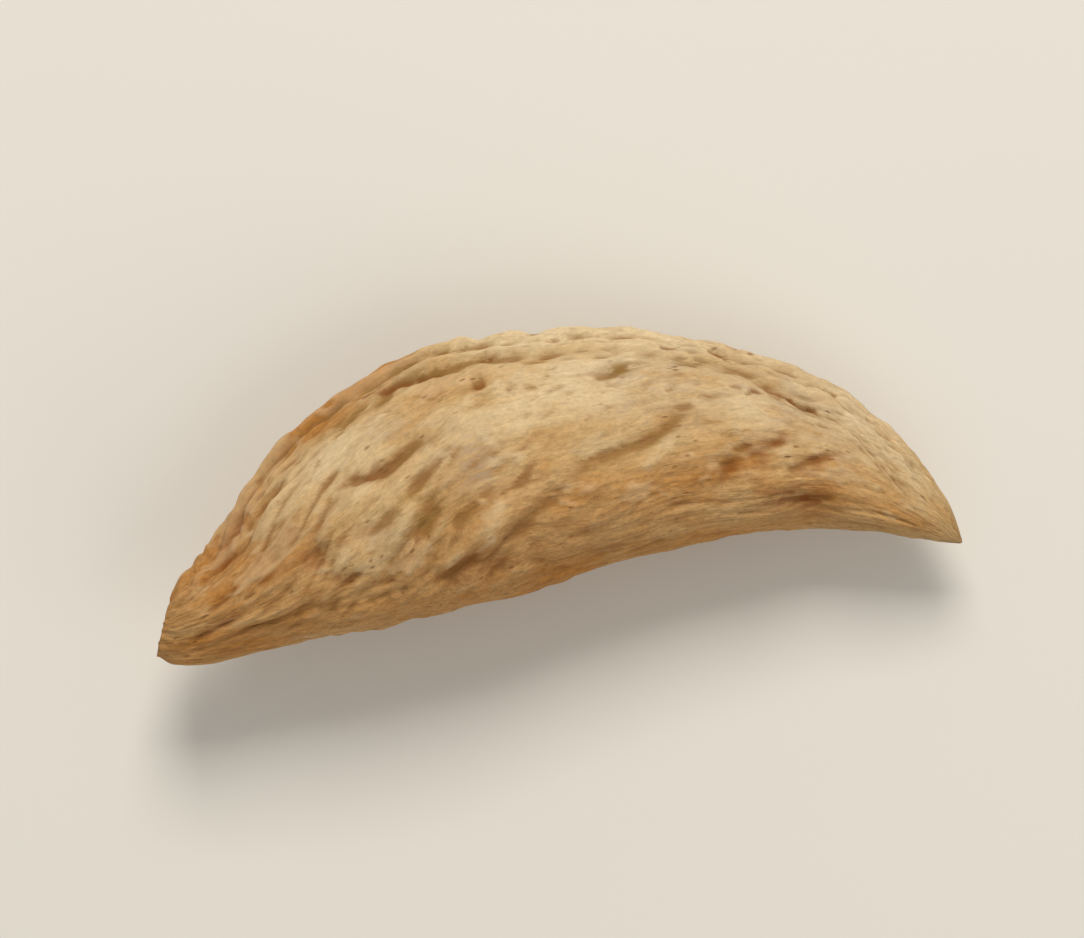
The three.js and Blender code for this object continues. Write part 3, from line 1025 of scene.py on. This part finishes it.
@dataclass
class AlmondShell:
    """The shell's fine surface: the frame's form on a close grid, with fibres, cracks and pits."""

    form: ShellForm
    finish: ShellFinish
    along: int = 330
    around: int = 290
    scar_rings: int = 10
    crowding: float = 0.25
    fibres: Grain = Grain(3.2, 0.55, 0.08, 61)
    knots: Grain = Grain(1.6, 0.9, 0.1, 67)
    crumbs: Grain = Grain(0.7, 0.5, 0.038, 73)
    back_fibres: Grain = Grain(4.0, 0.42, 0.06, 157)
    keel_crust: Grain = Grain(1.1, 0.5, 0.14, 79)
    pits: tuple[PitLayer, ...] = (
        PitLayer((3.4, 1.7), 0.4, 1.3, 0.55, 0.26, 71),
        PitLayer((1.5, 0.8), 0.4, 0.55, 0.28, 0.12, 83),
    )
    upper_pits: float = 0.4
    keel_drift: Grain = Grain(3.0, 1.0, 0.5, 149)
    strands: Grain = Grain(3.6, 0.34, 0.1, 139)
    ripples: Grain = Grain(3.6, 1.15, 0.24, 97)
    wrinkles: Grain = Grain(3.4, 1.05, 0.15, 131)
    wrinkle_width: float = 0.24
    strand_crease: float = 0.22
    strand_reach: Pair = (3.6, 2.4)
    ripple_lean: float = 0.62
    rippled_along: Pair = (22.0, 14.0)
    rippled_below: Pair = (8.5, 7.0)
    ripples_from_back: Pair = (0.8, 3.8)
    ripples_elsewhere: float = 0.35
    keel_crust_reach: Pair = (4.2, 2.2)
    bare_back: Pair = (5.5, 2.5)
    back_band_calm: float = 0.6
    crust_patches: Grain = Grain(3.4, 1.7, 0.06, 103)
    crust_edge: Grain = Grain(0.8, 0.4, 0.45, 109)
    crust_near_keel: Pair = (7.0, 2.5)
    crust_level: float = 0.12
    jag: Grain = Grain(0.7, 0.5, 0.16, 91)
    crease_jag: float = 0.6
    full_crack: float = 0.3
    blotches: tuple[Grain, ...] = (Grain(2.0, 1.1, 0.7, 101), Grain(0.7, 0.45, 0.5, 151))
    scar_strands: float = 0.16
    scar_seed: int = 113
    frayed: float = 0.14
    fray_seed: int = 127
    # Bands beside the keel that are coloured greenish brown as painted shade.
    shaded_keel_grooves: tuple[SeamBand, ...] = (SeamBand(2.25, 0.45, 1.0), SeamBand(1.0, 0.25, 1.0))
    groove_painted_shade: float = 0.6
    red_tone: float = 0.35
    pale_and_highlight_tone: float = 0.45
    painted_crease_shade: Pair = (0.0, -0.12)
    painted_ridge_highlight: Pair = (0.02, 0.2)
    painted_hollow_shade: Pair = (-0.02, -0.32)
    pit_edge: Pair = (0.15, 0.6)
    pit_floor: Pair = (0.5, 1.0)
    cavity_steps: int = 14
    hollow_steps: int = 90
    map_margin: float = 0.01
    cracks: tuple[Furrow, ...] = (
        Furrow(((17.3, 10.9), (17.7, 11.0), (18.0, 11.1)), 0.45, 0.17),
        Furrow(((23.3, 10.55), (24.4, 10.7), (25.5, 10.65)), 0.34, 0.1),
        Furrow(((28.7, 11.4), (29.4, 10.9), (30.0, 10.4)), 0.24, 0.2),
        Furrow(((30.3, 10.6), (30.9, 10.45), (31.3, 10.1)), 0.24, 0.15),
        Furrow(((30.1, 8.7), (30.7, 8.95), (31.2, 8.8)), 0.28, 0.13),
        Furrow(((31.3, 9.1), (31.9, 8.75), (32.3, 8.5), (33.0, 7.9), (34.0, 7.3)), 0.25, 0.22),
        Furrow(((26.8, 11.6), (27.5, 11.4), (28.2, 11.3)), 0.22, 0.16),
        Furrow(((34.0, 8.7), (34.5, 8.3), (35.0, 7.8)), 0.22, 0.14),
        Furrow(((11.6, 11.2), (13.6, 11.75), (15.2, 12.0), (16.8, 12.06)), 0.3, 0.18),
        Furrow(((9.4, 10.1), (11.4, 11.2), (13.2, 12.0), (14.8, 12.6)), 0.22, 0.12),
        Furrow(((17.8, 12.3), (18.3, 12.2), (18.8, 12.25)), 0.25, 0.16),
    )
    creases: tuple[Furrow, ...] = (
        Furrow(((10.2, 6.8), (11.4, 7.3), (12.6, 7.7), (13.6, 8.2), (14.6, 8.8)), 0.6, 0.26),
        Furrow(((10.6, 7.0), (11.5, 7.35), (12.4, 7.65)), 0.4, 0.14),
        Furrow(((22.6, 6.1), (24.3, 6.5), (25.9, 7.1), (27.8, 8.1)), 0.66, 0.19),
        Furrow(((24.2, 6.5), (25.8, 7.05), (27.2, 7.7)), 0.3, 0.06),
        Furrow(((17.2, 3.1), (18.9, 4.0), (20.7, 5.1)), 1.2, 0.1),
        Furrow(((28.8, 4.8), (30.3, 5.5), (31.8, 6.4)), 0.8, 0.07),
        Furrow(((28.2, 4.3), (29.4, 5.1)), 0.4, 0.12),
        Furrow(((32.0, 4.7), (33.4, 5.0), (34.8, 5.3)), 0.4, 0.15),
        Furrow(((31.4, 2.8), (32.8, 3.1), (33.9, 3.2)), 0.5, 0.15),
        Furrow(((13.2, 5.6), (14.0, 6.3), (14.7, 7.0)), 0.5, 0.07),
        Furrow(((13.2, 3.6), (14.2, 4.7), (15.1, 5.8)), 0.6, 0.2),
        Furrow(((12.0, 2.9), (13.0, 3.9), (13.6, 4.8)), 0.4, 0.12),
        Furrow(((15.5, 3.8), (16.9, 5.1)), 0.4, 0.12),
        Furrow(((17.9, 4.9), (19.5, 6.5)), 0.42, 0.13),
        Furrow(((7.6, 2.6), (8.3, 3.4), (8.9, 4.4)), 0.55, 0.16),
        Furrow(((10.8, 3.7), (12.3, 5.2)), 0.42, 0.12),
        Furrow(((9.0, 5.4), (10.2, 6.3)), 0.4, 0.05),
        Furrow(((3.0, 3.7), (4.0, 4.4), (5.1, 5.2)), 0.3, 0.13),
        Furrow(((3.3, 4.6), (4.3, 5.5), (5.3, 6.5)), 0.3, 0.11),
        Furrow(((1.0, 0.4), (3.1, 0.7), (5.0, 1.7)), 0.36, 0.16),
        Furrow(((1.3, 2.4), (2.6, 2.9)), 0.35, 0.12), Furrow(((5.0, 2.6), (6.4, 3.1)), 0.35, 0.1),
        Furrow(((12.2, 10.2), (13.4, 10.1), (14.3, 9.4)), 0.22, 0.08),
        Furrow(((16.9, 8.6), (17.4, 8.0), (18.1, 7.6)), 0.25, -0.07),
        Furrow(((20.2, 8.6), (21.4, 9.1)), 0.35, 0.07),
    )
    stains_and_painted_light: dict[StainAndPaintedLight, tuple[Mark, ...]] = field(
        default_factory=lambda: {
            # Brown stain marks; many lie along the dents and creases as painted shade.
            StainAndPaintedLight.BROWN: marks(
                (30.5, 5.8, 3.2, 1.4, 34, 0.34), (31.3, 6.4, 1.6, 0.8, 30, 0.25),
                (28.9, 4.7, 1.5, 1.0, 30, 0.4), (32.1, 3.2, 2.4, 1.4, 4, 0.85),
                (20.0, 2.6, 9.0, 1.8, 12, 0.2), (29.6, 3.7, 5.0, 1.5, 6, 0.24),
                (6.6, 4.9, 2.0, 1.5, 45, 0.4), (19.2, 4.7, 3.0, 1.0, 24, 0.25),
                (10.1, 4.6, 1.6, 0.9, 40, 0.25), (12.9, 3.2, 1.8, 0.8, 35, 0.3),
                (33.5, 4.9, 2.8, 0.9, 14, 0.38), (8.3, 3.7, 2.8, 1.0, 55, 0.45),
                (9.5, 2.3, 1.0, 0.7, 10, 0.5), (3.2, 0.9, 4.2, 0.6, 20, 0.3),
                (4.1, 4.4, 2.6, 0.5, 34, 0.5), (4.4, 5.6, 2.6, 0.5, 42, 0.4),
                (5.7, 2.9, 2.0, 0.6, 20, 0.35), (16.0, 2.0, 3.0, 1.2, 16, 0.22),
                (11.6, 7.4, 2.2, 0.7, 20, 0.6), (19.0, 4.0, 3.4, 0.9, 29, 0.15),
            ),
            StainAndPaintedLight.RED: marks(
                (16.0, 1.6, 16.0, 2.2, 3, 0.4), (19.9, 6.2, 1.8, 1.1, 10, 0.7),
                (21.4, 4.6, 4.6, 1.6, 28, 0.45), (6.4, 2.6, 5.0, 2.6, 25, 0.35),
                (27.2, 4.4, 8.0, 3.0, 8, 0.5), (29.0, 5.4, 5.0, 2.4, 25, 0.4),
                (34.4, 4.0, 4.4, 1.8, -10, 0.4), (3.0, 2.0, 5.0, 3.4, 35, 0.3),
                (5.4, 4.4, 4.6, 3.0, 45, 0.4), (4.4, 3.4, 3.0, 1.6, 40, 0.2),
                (30.0, 3.9, 4.0, 1.4, 4, 0.3), (2.0, 1.0, 3.4, 1.8, 20, 0.2),
                (32.4, 3.2, 3.0, 1.6, 4, 0.5), (37.2, 2.6, 3.4, 1.8, -40, 0.15),
            ),
            # Pale marks: the shell's pale crust, and painted highlight on the raised ridges among
            # the dents.
            StainAndPaintedLight.PALE: marks(
                (9.6, 8.9, 4.6, 2.2, 32, 0.25), (22.5, 10.6, 10.0, 4.2, 2, 0.85),
                (31.0, 7.8, 5.4, 2.6, -25, 0.7), (35.6, 6.0, 7.0, 3.0, -55, 0.7),
                (37.6, 2.9, 3.6, 1.8, -40, 0.2), (25.8, 6.3, 4.6, 0.9, 20, 0.3),
                (31.4, 4.7, 3.2, 0.6, 6, 0.3), (9.9, 3.5, 1.2, 0.7, 40, 0.25),
                (14.6, 6.6, 1.4, 0.8, 42, 0.2), (17.2, 4.1, 1.6, 0.6, 48, 0.35),
                (17.5, 8.1, 1.4, 0.4, -38, 0.4),
            ),
            StainAndPaintedLight.GREY: marks(
                (12.7, 9.4, 2.4, 1.4, 0, 0.4), (26.5, 10.0, 9.0, 3.4, -6, 0.4),
                (33.6, 7.4, 7.0, 3.4, -42, 0.35), (16.6, 7.2, 3.6, 2.8, -25, 0.7),
                (27.4, 7.4, 2.6, 1.2, 20, 0.3), (11.6, 4.5, 1.6, 1.2, 30, 0.4),
                (24.2, 8.4, 2.4, 1.4, 10, 0.35), (31.6, 7.9, 2.2, 1.2, -25, 0.3),
            ),
            # Greenish-brown marks: the shell's tint, and mostly painted shade in the dents and
            # wrinkles.
            StainAndPaintedLight.OLIVE: marks(
                (12.8, 7.9, 3.8, 0.8, 22, 0.6), (14.0, 6.2, 1.8, 0.9, 44, 0.25),
                (14.1, 4.6, 3.0, 1.4, 45, 0.8), (12.4, 3.7, 2.2, 1.1, 40, 0.4),
                (24.9, 6.8, 5.6, 0.9, 20, 0.6), (16.0, 4.6, 2.2, 1.0, 46, 0.45),
                (29.0, 5.9, 1.6, 1.2, 20, 0.5), (19.4, 4.4, 3.6, 1.1, 29, 0.25),
                (33.1, 7.6, 2.4, 0.9, -27, 0.5), (24.4, 10.65, 2.6, 0.8, 0, 0.65),
                (28.0, 10.5, 1.6, 0.7, 0, 0.35), (17.6, 10.6, 0.9, 1.4, 0, 0.4),
                (9.8, 4.9, 2.6, 1.2, 40, 0.35), (12.8, 5.7, 3.2, 1.8, 42, 0.35),
                (21.8, 7.2, 3.0, 1.2, 20, 0.3),
            ),
        }
    )

    def crust_cover(self, at: Straightened, leaned: Array) -> Array:
        """Where the pale outer crust still lies, from 0 to 1 with crisp, ragged edges.

        A slow noise drawn out along the fibres is cut at a level, after a finer noise has
        roughened it. The crust holds on best beside the keel and in the pale patches, and is gone
        at the back.

        Args:
            at: The grid's straightened points.
            leaned: Their distance across the fibres.

        Returns:
            The share of crust at every point.
        """
        cover = self.crust_patches.read(at, leaned) + self.crust_edge.raised(at, leaned)
        pale, olive = (summed_depth(self.stains_and_painted_light[n], at.plan) for n in (StainAndPaintedLight.PALE, StainAndPaintedLight.OLIVE))
        pale = np.where(at.side > 0, pale - olive, 0.15)
        bias = 0.3 * ramp(*self.crust_near_keel, at.keel_gap) + 0.35 * pale
        bias = bias - 0.5 * ramp(*self.bare_back, at.back_gap)
        crisp = 0.16 + 0.14 * self.knots.read(at, leaned)
        cover = np.clip((cover + bias - self.crust_level) / crisp, 0, 1)
        return cover * self.form.fade(at.s, 4.0, 3.0)

    def keel_strands(self, at: Straightened) -> Array:
        """Height of the cords that run beside the keel, parted by creases where a noise is 0.

        Args:
            at: The grid's straightened points.

        Returns:
            The height in mm.
        """
        row = at.own_row()
        drift = at.keel_gap + self.keel_drift.by_row(at.s, row)
        grain = self.strands
        strands = noise(at.s / grain.along, drift / grain.across, row, grain.seed)
        strands = 0.6 * strands - bump(strands, self.strand_crease)
        strands = strands * ramp(0.05, 0.5, at.keel_gap) * ramp(*self.strand_reach, at.keel_gap)
        return grain.height * strands * self.form.fade(at.s - 2.5, 4.0, 6.0)

    def rippled(self, at: Straightened) -> Array:
        """Height of the slanted ripples, and of winding wrinkles where a slanted noise is 0.

        Args:
            at: The grid's straightened points.

        Returns:
            The height in mm.
        """
        sheared = at.y - self.ripple_lean * at.s
        track = self.wrinkles.read(at, sheared)
        wrinkles = -self.wrinkles.height * bump(track, self.wrinkle_width)
        share = ramp(*self.rippled_along, at.s) * ramp(*self.rippled_below, at.plan[..., 1])
        ripples = self.ripples.raised(at, sheared) + wrinkles
        ripples = ripples * mix(self.ripples_elsewhere, 1.0, share)
        return ripples * ramp(*self.ripples_from_back, at.back_gap)

    def fine_relief(self, at: Straightened) -> tuple[Array, Array]:
        """What the fine surface adds to the frame's form.

        Args:
            at: The grid's straightened points.

        Returns:
            The added height in mm, and how deep each point lies in a pit or crack, from 0 to 1.
        """
        form = self.form
        leaned = form.leaned(at)
        body = form.fade(at.s + 0.3, 2.0, 3.0)
        band = ramp(-0.5, 0.5, at.side) * ramp(5.0, 2.0, at.back_gap) * ramp(7.0, 11.0, at.s)
        knots = self.knots.raised(at, leaned)
        knots += self.crumbs.raised(at, leaned)
        knots += self.keel_crust.raised(at, leaned) * ramp(*self.keel_crust_reach, at.keel_gap)
        knots += self.keel_strands(at)
        knots += self.rippled(at)
        knots = knots * (1 - self.back_band_calm * band)
        knots = knots + self.crust_patches.height * self.crust_cover(at, leaned)
        bare = ramp(*self.bare_back, at.back_gap) * self.back_fibres.height
        knots += bare * self.back_fibres.read(at, leaned)
        sunk = np.zeros_like(at.s)
        depth = np.zeros_like(at.s)
        open_flank = ramp(1.2, 2.6, at.keel_gap) * ramp(0.2, 1.0, at.back_gap)
        open_flank = open_flank * mix(1.0, self.upper_pits, ramp(-0.5, 0.5, at.side))
        for pits in self.pits:
            share = pits.share_at(at, leaned) * open_flank
            depth += pits.depth * share
            sunk = np.maximum(sunk, share)
        jag = self.jag.raised(at, leaned)[..., None]
        upper = ramp(0.0, 0.6, at.side)
        crack = upper * summed_depth(self.cracks, at.plan + jag)
        crease = upper * summed_depth(self.creases, at.plan + self.crease_jag * jag)
        sunk = np.maximum(sunk, np.clip(crack / self.full_crack, 0, 1))
        worn = 1 - form.worn(at)
        torn = ringed(5.0, np.arctan2(at.z, at.y), at.s / 1.5, self.fray_seed)
        frayed = self.frayed * torn * bump(at.s, 0.8)
        height = worn * body * (self.fibres.raised(at, leaned) + knots - depth)
        return height + frayed - crack - crease, sunk * body * worn

    def rings(self) -> tuple[Array, dict[str, Array]]:
        """Works out every ring of points, from the middle of the scar to the tip.

        Returns:
            The rings' points in mm, and the values that the finish reads at them.
        """
        form = self.form
        s, angle = form.grid(self.along, self.around, self.crowding)
        at = form.straightened(s, angle)
        added, sunk = self.fine_relief(at)
        points = form.shell_points(s, angle, added)
        values = self.surface_values(at, form.relief(s, angle) + added, sunk)
        share = (np.arange(1, self.scar_rings) / self.scar_rings)[:, None]
        share, scar_angle = np.broadcast_arrays(share, angle[:1])
        scar = form.scar_points(share, scar_angle, points[:1])
        scar = scar + self.strand_shift(share, scar_angle)
        for name, value in values.items():
            values[name] = np.concatenate([self.scar_value(name, value, share), value])
        return np.concatenate([scar, points]), values

    def strand_shift(self, share: Array, angle: Array) -> Array:
        """How far torn strands stand out of the scar's hollow, along the end's own direction.

        They run out from the middle: a noise whose place turns with the angle much faster than it
        moves with the share of the way out, fading at the rim and in the very middle.

        Args:
            share: How far out towards the rim a point lies.
            angle: The angle round from the keel.

        Returns:
            The shifts in mm, with x, y and z last.
        """
        torn = ringed(6.0, angle, 1.5 * share, self.scar_seed)
        height = self.scar_strands * torn * ramp(0.05, 0.5, share) * ramp(1.0, 0.9, share)
        return height[..., None] * self.form.outward()

    def scar_value(self, name: str, value: Array, share: Array) -> Array:
        """What the finish reads on the scar: the rim's own values, browner towards the middle.

        Args:
            name: The value's name.
            value: The value on the grid, rim first.
            share: How far out towards the rim a point lies.

        Returns:
            The values on the scar.
        """
        rim = np.repeat(value[:1], share.shape[0], axis=0)
        if name == "fibre":
            return rim * np.stack([np.ones_like(share), share, share], axis=-1)
        if name == "tone":
            return rim + 0.35 * (1 - share)
        if name == "brown":
            return np.clip(rim + 0.4 * (1 - share**2), 0, 1)
        return rim * share

    def surface_values(self, at: Straightened, height: Array, sunk: Array) -> dict[str, Array]:
        """The values that the finish reads: fibre coordinate, tone, painted shade in hollows and
        creases, painted highlight on ridges, colour marks and pits.

        Args:
            at: The grid's straightened points.
            height: The whole relief in mm.
            sunk: How deep each point lies in a pit or crack.

        Returns:
            The values by attribute name.
        """
        form = self.form
        # Relief over its local mean: creases below it are painted as shade, ridges above it as
        # highlight.
        cavity_for_shade_and_highlight = height - blurred(height, self.cavity_steps)
        # The same over a wide reach: broad hollows, which are painted as shade.
        hollow = height - blurred(height, self.hollow_steps)
        blotch = 0.8
        for grain in self.blotches:
            blotch = blotch + grain.raised(at, at.y)
        placed = {
            stain: np.where(at.side > 0, summed_depth(rows, at.plan), 0.0) * blotch
            for stain, rows in self.stains_and_painted_light.items()
        }
        back = 0.12 * ramp(4.6, 0.8, at.back_gap) + 0.1 * ramp(9.0, 5.0, at.back_gap)
        groove = form.bands(self.shaded_keel_grooves, at.keel_gap)
        _, strength = form.keel_strength(at)
        # The keel's groove bands take the greenish brown as painted shade, beside the marks.
        olive = placed[StainAndPaintedLight.OLIVE] + self.groove_painted_shade * groove * strength
        # Pale marks lighten the tone: the pale crust, and painted highlight on ridges.
        reds, pales_and_highlights = self.red_tone * placed[StainAndPaintedLight.RED], self.pale_and_highlight_tone * placed[StainAndPaintedLight.PALE]
        rim = ramp(3.5, 0.5, at.keel_gap)
        rim_tone = rim * (0.12 + 0.4 * bump(at.s - 12.5, 3.5) - 0.32 * ramp(14.0, 19.0, at.s))
        return {
            "fibre": np.stack([at.s, form.leaned(at), at.z], axis=-1),
            "tone": back + rim_tone + reds - pales_and_highlights,
            # How much painted shade each crease takes.
            "crease": ramp(*self.painted_crease_shade, cavity_for_shade_and_highlight),
            # How much painted highlight each ridge takes.
            "ridge": ramp(*self.painted_ridge_highlight, cavity_for_shade_and_highlight),
            "crust": self.crust_cover(at, form.leaned(at)),
            "bare": ramp(5.5, 2.0, at.back_gap),
            "hollow": ramp(*self.painted_hollow_shade, hollow),
            # Pit edges and brown marks: stain marks, and painted shade round pits and along dents.
            "brown": np.clip(ramp(*self.pit_edge, sunk) * 0.5 + placed[StainAndPaintedLight.BROWN], 0, 1),
            "grey": np.clip(placed[StainAndPaintedLight.GREY], 0, 1),
            "olive": np.clip(olive, 0, 1),
            # Pit and crack floors: partly the pores' own darker wood, partly painted shade.
            "pit": ramp(*self.pit_floor, sunk) * 0.85,
        }

    def faces(self, rings: int) -> tuple[Array, Array]:
        """The quads between neighbouring rings, and the fans that close the scar and the tip.

        Args:
            rings: How many rings the grid has. Point 0 is the scar's middle, the last the tip.

        Returns:
            Corner numbers of the quads and of the triangles, with the faces pointing out.
        """
        here = np.arange(self.around)
        after = (here + 1) % self.around
        ring = np.arange(rings - 1)[:, None] * self.around
        following = ring + self.around
        quads = np.stack([ring + here, ring + after, following + after, following + here], axis=-1)
        last = 1 + (rings - 1) * self.around
        scar = np.stack([here * 0, after + 1, here + 1], axis=-1)
        point = np.stack([here + last, after + last, here * 0 + last + self.around], axis=-1)
        return quads.reshape(-1, 4) + 1, np.concatenate([scar, point])

    def build(self) -> bpy.types.Object:
        """Makes the shell's mesh, its attributes and its map, and dresses it.

        Returns:
            The shell as an object at the origin.
        """
        form = self.form
        points, values = self.rings()
        middle = form.scar_points(np.zeros((1, 1)), np.zeros((1, 1)), np.zeros((1, 1, 3)))[0]
        flat = np.concatenate([middle, points.reshape(-1, 3), form.tip()])
        flat = form.turned(flat) + form.set_down_shift()
        flat[:, 2] = np.maximum(flat[:, 2], 0.0)
        mesh = mesh_from(flat * MM, *self.faces(len(points)), SHELL_NODE + "_shell")
        for name, value in values.items():
            rows = value.reshape(-1, *value.shape[2:])
            whole = np.concatenate([rows[:1], rows, value[-1:, 0]])
            if name == "fibre":
                whole[0] = 0.0
                whole[-1] = [form.spine_length, whole[-2][1], 0.0]
            add_attribute(mesh, name, whole)
        self.add_map(mesh, len(points))
        shell = bpy.data.objects.new("almond_shell", mesh)
        bpy.context.collection.objects.link(shell)
        mesh.materials.append(self.finish.build())
        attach(shell, BODY)
        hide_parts(SHELL_NODE)
        log.info("%s: %d points, %d faces", shell.name, len(flat), len(mesh.polygons))
        return shell

    def add_map(self, mesh: bpy.types.Mesh, rings: int) -> None:
        """Lays the grid out as a plain rectangle: round the shell across it, along the shell up it.

        Args:
            mesh: The shell's mesh, quads first, then the scar's fan and the tip's fan.
            rings: How many rings the grid has.
        """
        ring = np.repeat(np.arange(rings - 1), self.around)
        here = np.tile(np.arange(self.around), rings - 1)
        one = np.arange(self.around)
        low, top = one * 0, one * 0 + rings - 1
        place = np.concatenate(
            [
                np.stack([np.stack(corner, axis=-1) for corner in corners], axis=1).reshape(-1, 2)
                for corners in (
                    [(here, ring), (here + 1, ring), (here + 1, ring + 1), (here, ring + 1)],
                    [(one + 0.5, low - 1), (one + 1, low), (one, low)],
                    [(one, top), (one + 1, top), (one + 0.5, top + 1)],
                )
            ]
        )
        place = place.astype(float)
        margin = self.map_margin
        place[:, 0] = margin + (1 - 2 * margin) * place[:, 0] / self.around
        place[:, 1] = margin + (1 - 2 * margin) * (place[:, 1] + 1) / (rings + 1)
        layout = mesh.uv_layers.new(name="OFBake")
        layout.data.foreach_set("uv", place.astype(np.float32).ravel())


def mesh_from(points: Array, quads: Array, triangles: Array, name: str) -> bpy.types.Mesh:
    """Puts points, quads and then triangles into a mesh with smooth shading.

    Args:
        points: The points in metres.
        quads: Corner numbers of the four-sided faces.
        triangles: Corner numbers of the three-sided faces.
        name: The mesh's name.

    Returns:
        The mesh.
    """
    mesh = bpy.data.meshes.new(name)
    corners = np.concatenate([quads.ravel(), triangles.ravel()]).astype(np.int32)
    sizes = np.concatenate([np.full(len(quads), 4), np.full(len(triangles), 3)]).astype(np.int32)
    starts = np.concatenate([[0], np.cumsum(sizes)[:-1]]).astype(np.int32)
    mesh.vertices.add(len(points))
    mesh.vertices.foreach_set("co", points.astype(np.float32).ravel())
    mesh.loops.add(len(corners))
    mesh.loops.foreach_set("vertex_index", corners)
    mesh.polygons.add(len(sizes))
    mesh.polygons.foreach_set("loop_start", starts)
    mesh.update(calc_edges=True)
    mesh.shade_smooth()
    mesh.validate()
    return mesh


def add_attribute(mesh: bpy.types.Mesh, name: str, values: Array) -> None:
    """Stores one value or one vector for each point of a mesh.

    Args:
        mesh: The mesh.
        name: The attribute's name.
        values: The values, one row a point.
    """
    is_vector = values.ndim == 2
    made = mesh.attributes.new(name, "FLOAT_VECTOR" if is_vector else "FLOAT", "POINT")
    made.data.foreach_set("vector" if is_vector else "value", values.astype(np.float32).ravel())


@dataclass(frozen=True)
class Softbox:
    """A square soft light: its name, place and side in metres, power in watts, linear colour."""

    name: str
    place: tuple[float, float, float]
    size: float
    power: float
    colour: tuple[float, float, float]

    def build(self) -> None:
        """Hangs the light so that it faces the almond."""
        light = bpy.data.lights.new(self.name, "AREA")
        light.shape, light.size = "SQUARE", self.size
        light.energy, light.color = self.power, self.colour
        lamp = bpy.data.objects.new(self.name, light)
        lamp.location = self.place
        lamp.rotation_euler = (-Vector(self.place)).to_track_quat("-Z", "Y").to_euler()
        bpy.context.collection.objects.link(lamp)


@dataclass
class Studio:
    """A pale table, soft light from beyond the keel, and a camera that looks straight down."""

    chord_turn: float = 8.5
    view_width: float = 54.0
    lens: float = 170.0
    sensor: float = 36.0
    nearest: float = 0.01
    table_colour: str = "#e4e0d8"
    table_roughness: float = 0.9
    table_size: float = 1.2
    sky: float = 0.36
    sky_colour: tuple[float, ...] = (1.0, 0.985, 0.96, 1.0)
    lights: tuple[Softbox, ...] = (
        Softbox("key_softbox", (0.04, 0.30, 0.34), 0.2, 1.47, (1.0, 0.96, 0.89)),
        Softbox("fill_softbox", (0.22, -0.28, 0.32), 0.4, 0.56, (1.0, 0.95, 0.88)),
    )

    def build(self) -> None:
        """Sets up the table, the lights, the camera and the air."""
        self.add_table()
        for light in self.lights:
            light.build()
        self.add_camera()
        scene = bpy.context.scene
        scene.world = bpy.data.worlds.new("studio_air")
        scene.world.use_nodes = True
        air = scene.world.node_tree.nodes["Background"]
        feed(air, {"Color": self.sky_colour, "Strength": self.sky})
        scene.view_settings.view_transform = "Standard"

    def add_table(self) -> None:
        """Lays a wide table of matt pale board at height 0, as a stage piece."""
        half = self.table_size / 2
        corners = np.array([[-half, -half, 0], [half, -half, 0], [half, half, 0], [-half, half, 0]])
        mesh = mesh_from(corners, np.array([[0, 1, 2, 3]]), np.zeros((0, 3), int), "table_top")
        table = bpy.data.objects.new("table_top", mesh)
        bpy.context.collection.objects.link(table)
        material = bpy.data.materials.new("matt_pale_board")
        material.use_nodes = True
        looks = {"Base Color": self.table_colour, "Roughness": self.table_roughness}
        feed(material.node_tree.nodes["Principled BSDF"], looks)
        mesh.materials.append(material)

    def add_camera(self) -> None:
        """Hangs the camera over the almond, turned so that the chord rises to the right."""
        camera = bpy.data.cameras.new("overhead_camera")
        camera.sensor_width, camera.lens = self.sensor, self.lens
        camera.clip_start = self.nearest
        distance = self.view_width * MM * self.lens / self.sensor
        rig = bpy.data.objects.new("overhead_camera", camera)
        rig.location = (0.0, 0.0, distance)
        rig.rotation_euler = (0.0, 0.0, math.radians(-self.chord_turn))
        bpy.context.collection.objects.link(rig)
        bpy.context.scene.camera = rig


def main() -> None:
    """Builds the almond and its studio in order."""
    logging.basicConfig(level=logging.INFO, format="%(name)s: %(message)s")
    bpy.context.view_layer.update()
    AlmondShell(ShellForm(), ShellFinish()).build()
    Studio().build()


if __name__ == "__main__":
    main()
